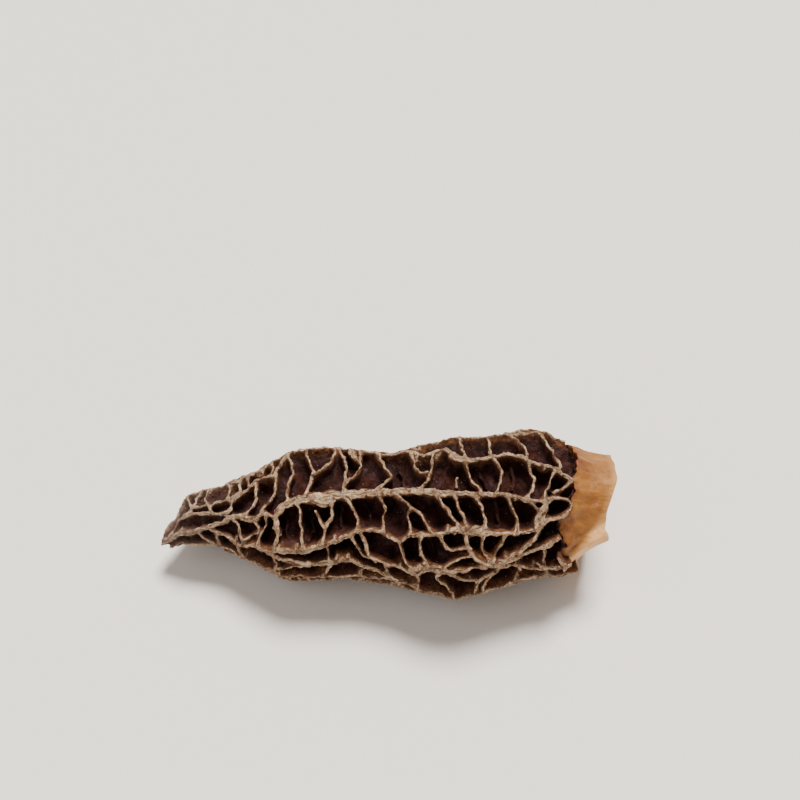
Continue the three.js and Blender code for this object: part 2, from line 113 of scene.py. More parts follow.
def new_tree(name: str, sockets: dict[str, tuple[str, Value | None]]) -> tuple[bpy.types.NodeTree, dict]:
    """Makes a Geometry Nodes tree with a Geometry input and output and named inputs.

    Args:
        name: The tree's name.
        sockets: The socket type and default value of each named input.

    Returns:
        The tree, and its input sockets' outputs by name.
    """
    tree = bpy.data.node_groups.new(name, "GeometryNodeTree")
    for direction in ("INPUT", "OUTPUT"):
        tree.interface.new_socket("Geometry", in_out=direction, socket_type="NodeSocketGeometry")
    for label, (socket_type, value) in sockets.items():
        socket = tree.interface.new_socket(label, in_out="INPUT", socket_type=socket_type)
        if value is not None:
            socket.default_value = value
    group_in = tree.nodes.new("NodeGroupInput")
    return tree, {output.name: output for output in group_in.outputs if output.name}


def end_tree(tree: bpy.types.NodeTree, geometry: Value, material: bpy.types.NodeSocket) -> None:
    """Ends a tree in Realize Instances, smooth shading and Set Material.

    Args:
        tree: The tree to end.
        geometry: What the tree has made.
        material: The input that holds the material.
    """
    real = add_node(tree, "GeometryNodeRealizeInstances", {"Geometry": geometry})
    smooth = add_node(tree, "GeometryNodeSetShadeSmooth", {"Geometry": real})
    dressed = add_node(tree, "GeometryNodeSetMaterial", {"Geometry": smooth, "Material": material})
    add_node(tree, "NodeGroupOutput", {"Geometry": dressed})


def add_geometry_nodes(obj: bpy.types.Object, tree: bpy.types.NodeTree, values: dict[str, Value]) -> None:
    """Adds a Geometry Nodes modifier and sets its named inputs.

    Args:
        obj: The object to add it to.
        tree: The node tree to run.
        values: A value for each input, by the input's name.
    """
    modifier = obj.modifiers.new(tree.name, "NODES")
    modifier.node_group = tree
    for item in tree.interface.items_tree:
        if item.in_out == "INPUT" and item.name in values:
            modifier[item.identifier] = values[item.name]


def mesh_object(name: str, points: np.ndarray, faces: list, edges: list | None = None) -> bpy.types.Object:
    """Makes a mesh object in the scene.

    Args:
        name: The object's name.
        points: Corner points in millimetres, in the frame.
        faces: Corner numbers of each face.
        edges: Corner numbers of each loose edge.

    Returns:
        The object, at the origin.
    """
    mesh = bpy.data.meshes.new(name)
    mesh.from_pydata((points * MM).tolist(), edges or [], faces)
    mesh.update()
    obj = bpy.data.objects.new(name, mesh)
    bpy.context.scene.collection.objects.link(obj)
    return obj


def store(mesh: bpy.types.Mesh, label: str, values: np.ndarray) -> None:
    """Stores an attribute on a mesh's points.

    Args:
        mesh: The mesh to store it on.
        label: The attribute's name.
        values: One number, or one row of three numbers, for each point.
    """
    kind, key = ("FLOAT", "value") if values.ndim == 1 else ("FLOAT_VECTOR", "vector")
    layer = mesh.attributes.new(label, kind, "POINT")
    layer.data.foreach_set(key, values.astype(np.float32).ravel())


def settle(obj: bpy.types.Object) -> None:
    """Turns an object's modifiers into its plain mesh and removes them.

    Args:
        obj: The object, whose mesh is replaced.
    """
    graph = bpy.context.evaluated_depsgraph_get()
    mesh = bpy.data.meshes.new_from_object(obj.evaluated_get(graph))
    obj.modifiers.clear()
    obj.data = mesh


def join_into(target: bpy.types.Object, other: bpy.types.Object) -> None:
    """Adds another object's mesh to a target's, and removes the other object.

    Args:
        target: The object that is kept.
        other: The object that is used up.
    """
    with bpy.context.temp_override(
        active_object=target, object=target, selected_objects=[target, other],
        selected_editable_objects=[target, other],
    ):
        bpy.ops.object.join()


def triangle_count(mesh: bpy.types.Mesh) -> int:
    """The number of triangles that a mesh's faces split into."""
    return sum(len(polygon.vertices) - 2 for polygon in mesh.polygons)


def rest_on_floor(mesh: bpy.types.Mesh) -> None:
    """Presses what reaches below the floor flat onto it.

    Args:
        mesh: The mesh to press, in the frame's metres.
    """
    points = np.empty(len(mesh.vertices) * 3, dtype=np.float32)
    mesh.vertices.foreach_get("co", points)
    points[2::3] = np.maximum(points[2::3], 0)
    mesh.vertices.foreach_set("co", points)
    mesh.update()


def band_faces(rings: int, sides: int, closed: bool = False) -> list[tuple[int, ...]]:
    """The quads between rings of points.

    Args:
        rings: The number of rings.
        sides: The number of points in a ring.
        closed: Whether the last ring joins the first.

    Returns:
        Corner numbers of each quad.
    """
    faces = []
    for k in range(rings if closed else rings - 1):
        a, b = k * sides, (k + 1) % rings * sides
        for i in range(sides):
            j = (i + 1) % sides
            faces.append((a + i, a + j, b + j, b + i))
    return faces


def loft_faces(rings: int, sides: int) -> list[tuple[int, ...]]:
    """The faces of a closed loft whose points are rings in order, then the two poles.

    Args:
        rings: The number of rings.
        sides: The number of points in a ring.

    Returns:
        Quads between rings and triangles at the poles.
    """
    faces = band_faces(rings, sides)
    first, last, end = rings * sides, rings * sides + 1, (rings - 1) * sides
    for i in range(sides):
        j = (i + 1) % sides
        faces += [(first, j, i), (last, end + i, end + j)]
    return faces


def ramp(value: np.ndarray, start: float, end: float) -> np.ndarray:
    """Rises evenly from 0 where a value is at start to 1 where it is at end."""
    return np.clip((value - start) / (end - start), 0, 1)


def bell(distance: np.ndarray, reach: float) -> np.ndarray:
    """A smooth hump: 1 at no distance, and nearly 0 at twice the reach."""
    return np.exp(-((distance / reach) ** 2))


def wrapped(angle: np.ndarray, first: float) -> np.ndarray:
    """Angles brought into the full turn that starts at first."""
    return np.mod(np.asarray(angle) - first, 360) + first


def unit(rows: np.ndarray) -> np.ndarray:
    """Vectors in rows, each brought to length 1."""
    return rows / np.linalg.norm(rows, axis=1)[:, None]


def catmull_rom(points: np.ndarray, per_span: int) -> np.ndarray:
    """Runs a smooth curve through points.

    Args:
        points: The points, one in each row.
        per_span: Samples in each span between two points.

    Returns:
        The samples, with both ends included.
    """
    padded = np.vstack([points[:1], points, points[-1:]])
    t = np.linspace(0, 1, per_span, endpoint=False)[:, None]
    spans = []
    for before, start, end, after in zip(padded, padded[1:], padded[2:], padded[3:]):
        v0, v1 = (end - before) / 2, (after - start) / 2
        cubic, square = 2 * start - 2 * end + v0 + v1, -3 * start + 3 * end - 2 * v0 - v1
        spans.append(start + t * (v0 + t * (square + t * cubic)))
    return np.vstack([*spans, points[-1:]])


@dataclass(frozen=True)
class Wave:
    """A smooth seeded wavering: how far it swings, and the rough length of one wave along a line."""

    swing: float
    length: float

    def along(
        self, distances: np.ndarray, rng: np.random.Generator, share: np.ndarray | float = 1.0
    ) -> np.ndarray:
        """Draws the wave at distances along a line.

        Args:
            distances: Where to draw it.
            rng: The random generator.
            share: How much of its swing it has at each distance.

        Returns:
            One value for each distance, between about -swing and swing.
        """
        phases = rng.uniform(0, 2 * math.pi, 3)
        lengths = self.length * np.array([1.0, 0.61, 0.37])
        sines = np.sin(2 * math.pi * distances[:, None] / lengths + phases)
        return self.swing * share * (sines @ np.array([0.55, 0.3, 0.15]))


# ---------------------------------------------------------------- the body's form


@dataclass(frozen=True)
class BodyForm:
    """The skin that the crests lie in, and what lies below it.

    A station holds x, the centre line's place across and up, and the mean radius. A row of the margin
    holds an angle and the margin's x, and one of its waves holds a reach, a number and a phase.
    """

    stations: tuple[tuple[float, float, float, float], ...] = (
        (-41.2, -0.4, 6.1, 1.5), (-40.2, 0.0, 6.3, 2.2), (-39.0, 0.6, 6.7, 2.9), (-37.0, 2.4, 7.9, 4.7),
        (-34.5, 2.6, 8.0, 5.3), (-31.5, 2.8, 8.4, 5.8), (-28.5, 3.0, 8.9, 6.7), (-25.5, 3.0, 9.3, 8.1),
        (-20.5, 2.5, 9.8, 10.2), (-17.5, 2.5, 10.2, 11.5), (-10.0, 2.4, 10.5, 11.7), (-3.5, 2.0, 10.5, 11.5),
        (2.0, 1.2, 11.0, 12.0), (6.5, 0.5, 11.6, 12.9), (11.0, 0.2, 12.2, 13.6), (15.5, 0.9, 12.3, 13.5),
        (19.5, 2.1, 12.3, 13.3), (24.0, 3.2, 12.3, 13.1), (27.5, 3.5, 12.3, 12.8), (30.0, 3.0, 11.9, 12.1),
        (34.0, 3.1, 11.9, 11.2), (40.5, 4.3, 12.6, 8.0),
    )
    margin: tuple[tuple[float, float], ...] = (
        (-60, 32.0), (-30, 32.6), (-18, 32.7), (-4, 32.2), (6, 31.4), (13, 31.5), (21, 31.1), (27, 30.5),
        (34, 30.6), (41, 29.6), (48, 28.4), (55, 28.4), (66, 29.0), (71, 29.9), (82, 28.7), (95, 29.3),
        (113, 30.1), (130, 31.6), (150, 29.6), (178, 30.8), (205, 29.2), (235, 31.0), (262, 30.2),
        (300, 32.0),
    )
    margin_waves: tuple[tuple[float, int, float], ...] = ((0.16, 17, 1.3), (0.12, 41, 0.4), (0.07, 73, 2.2))
    width_factor: float = 1.12
    height_factor: float = 0.9
    pit_share: float = 0.34
    pit_limit: float = 3.7

    @staticmethod
    def value_at(rows: tuple, x: np.ndarray, column: int) -> np.ndarray:
        """Reads one column of rows smoothly.

        Args:
            rows: Rows sorted by their first number.
            x: Where to read, in the first column's unit.
            column: The column to read.

        Returns:
            The smooth value at each x.
        """
        table = np.array(rows, dtype=float)
        keys, values = table[:, 0], table[:, column]
        x = np.clip(np.asarray(x, dtype=float), keys[0], keys[-1])
        i = np.clip(np.searchsorted(keys, x, side="right") - 1, 0, len(keys) - 2)
        before, after = np.maximum(i - 1, 0), np.minimum(i + 2, len(keys) - 1)
        width = keys[i + 1] - keys[i]
        t = (x - keys[i]) / width
        start = (values[i + 1] - values[before]) / (keys[i + 1] - keys[before]) * width
        end = (values[after] - values[i]) / (keys[after] - keys[i]) * width
        rise = values[i + 1] - values[i]
        cubic, square = start + end - 2 * rise, 3 * rise - 2 * start - end
        return values[i] + t * (start + t * (square + t * cubic))

    def radius(self, x: np.ndarray) -> np.ndarray:
        """The mean radius of the skin at x."""
        return self.value_at(self.stations, x, 3)

    def pit_depth(self, x: np.ndarray) -> np.ndarray:
        """How deep the pits are at x."""
        return np.minimum(self.pit_share * self.radius(x), self.pit_limit)

    def margin_x(self, angle: np.ndarray) -> np.ndarray:
        """Where the cap's ragged margin lies.

        Args:
            angle: Angle round the body, in degrees.

        Returns:
            The margin's x at each angle.
        """
        turned = wrapped(angle, self.margin[0][0])
        ragged = sum(
            reach * np.sin(np.radians(turned * number) + phase) for reach, number, phase in self.margin_waves
        )
        return self.value_at(self.margin, turned, 1) + ragged

    def point(self, x: np.ndarray, angle: np.ndarray, radius: np.ndarray | float) -> np.ndarray:
        """Points at a radius from the body's centre line.

        Args:
            x: Place along the body.
            angle: Angle round it, in degrees.
            radius: Distance from the centre line before the body's flattening.

        Returns:
            Points in millimetres in the frame, one in each row.
        """
        turn = np.radians(angle)
        across = self.value_at(self.stations, x, 1) - self.width_factor * radius * np.sin(turn)
        up = self.value_at(self.stations, x, 2) + self.height_factor * radius * np.cos(turn)
        return np.stack(np.broadcast_arrays(x, across, up), axis=-1) + np.array(FRAME_SHIFT)


# ---------------------------------------------------------------- the net of ridges


class RidgeKind(Enum):
    """What a ridge is to the net."""

    MAIN = "main"
    RUNG = "rung"
    WEB = "web"
    SPUR = "spur"
    FOLD = "fold"
    RIM = "rim"


Route = tuple[tuple[float, float], ...]


@dataclass(frozen=True)
class Ridge:
    """One ridge: its route as points of x and angle, its crest's widths evenly along it, and how thin
    and clear its wall dried, from 0 to 1, which sets the painted orange glow of light shining through it."""

    route: Route
    widths: tuple[float, ...]
    kind: RidgeKind = RidgeKind.MAIN
    thin_skin: float = 0.0


# The long ridges of the side in sight: routes as points of x and angle, and the crests' widths.
MAIN_RIDGES = (
    # along the back
    Ridge((
        (-38, -80), (-31, -84), (-22, -82), (-10, -80), (0, -74), (8, -62), (14, -47), (19, -38),
        (24, -35), (28, -36), (31.5, -42)), (0.75, 1.05, 0.85)),
    # the shoulder, over the whole length
    Ridge((
        (-40.6, -28), (-38.5, -37), (-35.7, -38), (-33, -40), (-30.5, -38), (-27.6, -31), (-25.3, -24),
        (-23.5, -27), (-21, -36), (-17, -39), (-12, -43), (-7, -44),
        (-2, -36), (3, -34), (6, -24), (8.5, -26.5), (10.4, -21), (13.2, -11), (17.7, -9.5), (20.6, -9.5),
        (22.2, -5), (23.7, 1), (25.9, 4.5), (28.5, 7), (31.2, 13)),
        (1.0, 1.15, 1.3, 1.9, 1.05, 0.85, 0.75)),
    # the stout middle ridge
    Ridge((
        (-19.8, 67), (-18.8, 52), (-19.2, 36), (-18.6, 29), (-17.2, 24), (-15.2, 21), (-12.5, 20),
        (-10, 18), (-6.5, 16.3), (-3, 13.8), (0, 12.4), (5, 12), (10, 15), (15, 18.5), (20, 24),
        (22.6, 29.5), (25.3, 32), (27, 30.5), (28.1, 29.5), (29.5, 28.5), (30.5, 31)),
        (0.65, 1.4, 2.2, 2.0, 1.45, 1.1, 0.9, 0.65, 0.45)),
    # below the middle
    Ridge((
        (-19.8, 67), (-17, 65.5), (-13, 62), (-9, 56), (-5.2, 46), (-2, 45.5), (1.5, 51.5), (3.6, 46),
        (8, 44), (10.5, 40.5), (13, 43.5), (17, 47.5), (21, 52), (23.4, 52.5), (25.2, 49.5), (26.3, 45.5),
        (27.4, 46), (28.7, 42.5), (30, 36.5), (30.5, 31)), (0.75, 1.3, 0.8, 0.65, 0.95, 0.85, 0.7, 0.4)),
    # the deep fold near the margin
    Ridge((
        (12.4, 46), (12.9, 55), (13.8, 62), (15.4, 68), (17.1, 72), (18.9, 71), (20.7, 68), (22.5, 64),
        (24, 58.5), (25.2, 50)), (0.6, 0.65, 0.6)),
    # along the flank
    Ridge((
        (-5.2, 46), (-4, 56), (-3.5, 68), (-1, 74), (2, 77), (4.4, 80), (6.4, 72), (9, 73.5), (12, 71),
        (15, 71.5), (17.5, 73), (20, 72.5), (22.5, 70), (25.5, 67.5), (28, 62)
    ), (0.75, 0.65, 0.85, 0.95, 0.65)),
    # below the flank, towards the tip
    Ridge((
        (-22.6, 68), (-19.6, 73), (-16.5, 75), (-13, 79), (-10, 77), (-7.5, 72.5), (-5, 79), (-2, 85),
        (2.5, 96)), (0.85, 1.3, 0.65)),
    # below the flank, towards the margin
    Ridge((
        (9.5, 73), (12.7, 82), (14.5, 82.5), (17, 80), (19.5, 77), (22, 81), (24, 88), (26.5, 93),
        (29, 91), (30.8, 86)), (0.6, 0.65, 0.6)),
    # where the side turns under
    Ridge((
        (-39.5, 95), (-34, 86), (-31, 86), (-29, 95), (-25, 101), (-20, 100), (-15, 98), (-10, 99),
        (-5, 97), (0, 96), (5, 100), (8, 104), (11, 114), (15, 113), (20, 107), (25, 104), (29, 107),
        (32.6, 110)), (0.6, 0.65, 0.75)),
    # the tip, low
    Ridge((
        (-41.1, 74), (-38.7, 51.5), (-36.4, 58), (-34.2, 53.5), (-32.7, 49.5), (-30.8, 45.5), (-28.7, 41.5),
        (-27.9, 36), (-26.6, 33.5), (-24.6, 36), (-23, 36.5), (-22, 31.5), (-20.4, 32.5), (-19.2, 36)),
        (0.65, 1.1, 1.2, 0.8, 0.65)),
    # the tip, middle
    Ridge((
        (-41.1, 42), (-38.5, 30), (-36.3, 25), (-34.2, 19), (-32.2, 23.5), (-30.6, 26.5), (-29.5, 29),
        (-27.9, 24.5), (-27.7, 16), (-26.9, 9)), (0.6, 0.8, 0.85, 0.65)),
    # the tip, high
    Ridge((
        (-31.2, 25.5), (-31.6, 19), (-31.8, 11), (-31, 7), (-29.3, 6.5), (-26.9, 9), (-25.4, 3.5),
        (-24.6, -2), (-23.5, -10), (-21.6, -9.5), (-20.2, -9), (-19.3, -25), (-18.4, -37)
    ), (0.6, 0.7, 0.6)),
    # the tip, turning under
    Ridge((
        (-32, 48), (-31.2, 54), (-30.2, 59.5), (-28.4, 64), (-27.3, 72.5), (-26, 76), (-24.7, 72),
        (-23.2, 67.5), (-21.6, 71), (-19.8, 69)), (0.5, 0.8, 0.9, 0.65)),
)

# The short cross ribs between them.
RUNG_ROUTES = (
    ((12.4, -50), (12.6, -30), (12.9, -13)),
    ((21, -37), (23, -22), (23.6, -5)),
    ((26.4, -35), (28, -16), (29.2, 4)),
    ((5, -67), (5.4, -50), (4.4, -34)),
    ((-2.4, -75), (-2.2, -55), (-3, -38)),
    ((-9.5, -80), (-10, -62), (-9, -44)),
    ((-16, -81), (-15.4, -60), (-16.2, -40)),
    ((-22, -82), (-21.8, -60), (-22.4, -32)),
    ((-28, -83), (-27.6, -56), (-28.4, -34)),
    ((-34, -84), (-34.4, -60), (-34, -39)),
    ((17.4, -41), (17.4, -26), (17.2, -13)),
    ((-18.6, -37), (-17.1, -15), (-16.9, -2), (-17.5, 9), (-17.2, 23)),
    ((-15, -40), (-14.8, -29), (-13.6, -14), (-13.2, -2), (-13.8, 9), (-14.4, 20)),
    ((-9.8, -43), (-10.2, -24), (-11, -14), (-12.3, -5), (-13.2, -1)),
    ((-9.4, -43), (-7.8, -21), (-7.6, -7), (-7.8, 16)),
    ((-5.4, -42), (-5.2, -14), (-6.2, -2), (-7.6, 7)),
    ((-2.4, -36), (-0.8, -15), (0.3, -3), (-0.8, 3), (-2.8, 13)),
    ((3.6, -34), (4.4, -14), (5.2, -6), (6.8, -3)),
    ((7.6, -24), (7.1, -10), (6.7, 0), (5.2, 10)),
    ((12.9, -12), (13.3, 0), (14, 9), (15.2, 16)),
    ((11, 12), (11.4, 3)),
    ((17.2, -12), (18.5, -2), (18.9, 7), (18.2, 15), (17.6, 20)),
    ((23.2, -4), (23.8, 7), (24.3, 17), (23.7, 24), (22.6, 28)),
    ((28.2, 6), (26.8, 19), (25.6, 31)),
    ((30.4, 14), (28.9, 21), (27.2, 27)),
    ((-16.2, 20), (-15.1, 30), (-14.9, 44), (-14.7, 54), (-14.4, 63)),
    ((-9.9, 18), (-9.6, 34), (-10.6, 44), (-11.1, 54), (-11.8, 60)),
    ((-12.4, 30), (-11.7, 40), (-10.8, 45)),
    ((-8, 17), (-6.2, 27), (-5.4, 36), (-5.3, 46)),
    ((-2.4, 13), (-0.9, 22), (-1, 34), (-1, 45)),
    ((0.4, 12), (3.2, 22), (5.2, 30), (6.5, 40), (7.4, 44)),
    ((3.8, 25), (2.9, 33), (3.6, 40), (3.2, 48)),
    ((7.2, 12), (9.4, 26), (10.6, 34), (12.6, 43)),
    ((10.6, 15), (11.8, 30), (13.1, 43)),
    ((13.4, 16), (15, 25), (15.3, 32), (15.9, 38), (14.9, 45)),
    ((22.4, 27), (24.2, 36), (24.9, 43), (23.9, 50)),
    ((-10.2, 58), (-10.4, 70), (-10.2, 77)),
    ((-6.4, 49), (-5.5, 62), (-4.3, 71), (-2.2, 73)),
    ((1.6, 52), (2.3, 64), (2.9, 73), (4.2, 79)),
    ((5.3, 45), (5, 55), (5.6, 64), (6.6, 72)),
    ((8.3, 44), (9, 52), (10.3, 56.5), (12.3, 54), (13.4, 56)),
    ((13.6, 60), (11, 64), (8.6, 71)),
    ((8.4, 73), (7.8, 81), (8.8, 89), (10.2, 99), (10.8, 112)),
    ((14.2, 82), (14.7, 91), (14.4, 111)),
    ((17.4, 79), (16, 93), (15.8, 111)),
    ((21.6, 81), (21.8, 94), (20.6, 106)),
    ((4.4, 80), (4.9, 88), (4.6, 98)),
    ((-8.4, 74), (-10, 86), (-11.6, 98)),
    ((-2.6, 84), (-4.8, 90), (-5.2, 97)),
    ((-0.8, 74), (-0.6, 83), (-0.2, 90)),
    ((-13.2, 79), (-16.5, 87), (-19.3, 90)),
    ((-19.7, 73), (-19.4, 88), (-18.6, 100)),
    ((25.6, 68), (26, 80), (25.6, 91)),
    ((-37, -38), (-35.9, -8), (-35.1, 6)),
    ((-34.2, -39), (-34.7, -20), (-34.9, -5), (-35.1, 6)),
    ((-36.4, 23), (-35.7, 14.5), (-35.1, 6)),
    ((-35.1, 6), (-33.4, 5.5), (-32.5, 1), (-33.2, -12.5), (-33.2, -26), (-32.2, -38)),
    ((-32.5, 1), (-31.9, 10)),
    ((-29.4, -36), (-28.6, -16), (-28.5, 6)),
    ((-26, 6.5), (-26.6, -5), (-26.7, -16.5), (-26.5, -27)),
    ((-24.3, 0), (-25.3, -14), (-25.3, -24)),
    ((-29.5, 29), (-28.5, 33), (-27.6, 35.5)),
    ((-21, -10), (-20.8, -25), (-21.5, -35)),
    ((-23.5, -6), (-23.2, 9), (-23.5, 22), (-24.2, 28), (-25.2, 34)),
    ((-23.3, 37), (-22.6, 43.5), (-22.5, 49.5), (-23.6, 58.5), (-25.6, 68)),
    ((27, 30.5), (25.8, 40), (25.3, 48.5)),
    ((-21, 33), (-21.2, 46), (-22.2, 57), (-22.8, 70)),
    ((-30.2, 60), (-30.3, 76.5), (-30, 92)),
    ((-28, 68), (-27, 77.5), (-26.2, 88.5), (-26, 100)),
    ((-34, 54), (-33.2, 66), (-32.8, 74), (-30.7, 84)),
)

# Rungs whose walls dried thin, painted with an orange glow as of light shining through them.
THIN_GLOWING_RUNG_ROUTES = (
    ((15.4, 47), (15, 54), (15.4, 60.5), (16.4, 67)),
    ((19, 50.5), (18.3, 58.5), (17.6, 64), (16.9, 69)),
    ((19.2, 22), (20.4, 34), (21.1, 45), (20.9, 51)),
    ((-19.9, -10), (-19.7, 4), (-20.2, 14), (-20.4, 20), (-21.6, 24), (-21.9, 32)),
)

# Rungs that part the twisted pit low on the tip, and rungs on the tip's back.
TIP_RUNG_ROUTES = (
    ((-27.3, 38), (-26.2, 46), (-25.9, 53), (-26.2, 60.5), (-25.4, 66)),
    ((-39.6, -30), (-39.5, -60), (-39.3, -88)),
    ((-37.2, -38), (-37.8, -58), (-37.2, -84)),
    ((-39.2, -88), (-38.8, -110), (-37.6, -132), (-37.2, -152)),
)

# Low folds on the floors of pits.
FOLD_ROUTES = (
    ((-37.6, 30), (-37.4, 40), (-37.2, 50)),
    ((-35.7, 28), (-35.3, 40.5), (-34.9, 53.5)),
    ((-33.5, 21.5), (-33.1, 34), (-33.2, 46)),
    ((-31.6, 25.5), (-32, 35.5), (-32.1, 45.5)),
    ((-36.2, 64), (-35, 74), (-34.1, 80)),
    ((-29.9, 32), (-30, 38), (-29.6, 42)),
    ((-28.2, 40), (-27.4, 48), (-25.8, 57), (-24, 59)),
    ((1.2, -26), (2.4, -12), (2.2, 6)),
    ((9.6, -16), (9.2, -4), (8.6, 10)),
    ((15.2, -8), (15.8, 2), (16.6, 14)),
    ((20.8, -6), (21, 6), (20.6, 20)),
    ((-11.6, -34), (-12, -22), (-14, -12)),
    ((-4.2, 20), (-3.4, 30), (-3.2, 42)),
    ((-13, 24), (-13.2, 36), (-12.8, 54)),
    ((-17.8, 32), (-17.4, 44), (-17.6, 58)),
    ((-8.2, 22), (-8.1, 36), (-8.4, 50)),
    ((17.6, 24), (18, 36), (18.2, 44)),
    ((6.7, 48), (7.2, 58), (7.8, 68)),
    ((11.4, 60), (11, 66), (11.6, 70)),
)

# Flaps of skin that dried taut where ridges meet: each one's width and route.
WEB_ROUTES = (
    (1.5, ((-13, 22.5), (-11.1, 25), (-9.2, 22.5))),
    (1.7, ((-7.2, -42), (-6.6, -32), (-6, -23))),
    (1.6, ((5.8, 12), (8.2, 15), (10.4, 15.5))),
    (2.2, ((10.6, 40), (13.4, 43), (16.2, 42.5))),
    (2.2, ((3.6, 77), (6.2, 71), (9.4, 71.5))),
    (1.1, ((25.6, 66), (27, 63.5), (28.6, 60))),
    (1.2, ((24.4, 82), (26.7, 92), (29, 90))),
    (1.1, ((28.1, 79.5), (29.5, 89), (29.8, 103))),
    (1.7, ((10, -18), (12.4, -11), (14.6, -9))),
    (1.5, ((-30.6, -36), (-29, -30), (-27, -22))),
    (1.2, ((-25.8, 2), (-27.4, 7), (-28.4, 13))),
    (1.3, ((-26.6, 36), (-24.4, 38), (-22.2, 38))),
    (1.5, ((-39.6, 60), (-36, 59), (-31.4, 50))),
    (1.6, ((-18.4, 64), (-15.4, 65), (-12, 62.5))),
    (1.3, ((24, 47), (25, 40), (26.6, 33))),
)


@dataclass(frozen=True)
class FarRidge:
    """A ridge on the side turned away: a wavy line about an angle, from an x to an x."""

    angle: float
    from_x: float
    to_x: float
    drawn: bool = True

    def angle_at(self, x: np.ndarray) -> np.ndarray:
        """Follows the ridge along the body.

        Args:
            x: Place along the body.

        Returns:
            The ridge's angle at each x.
        """
        waves = ((5.0, 21.0, 1.31), (2.5, 8.7, 2.17))
        return self.angle + sum(
            swing * np.sin(2 * math.pi * np.asarray(x) / length + phase_per_degree * self.angle)
            for swing, length, phase_per_degree in waves
        )


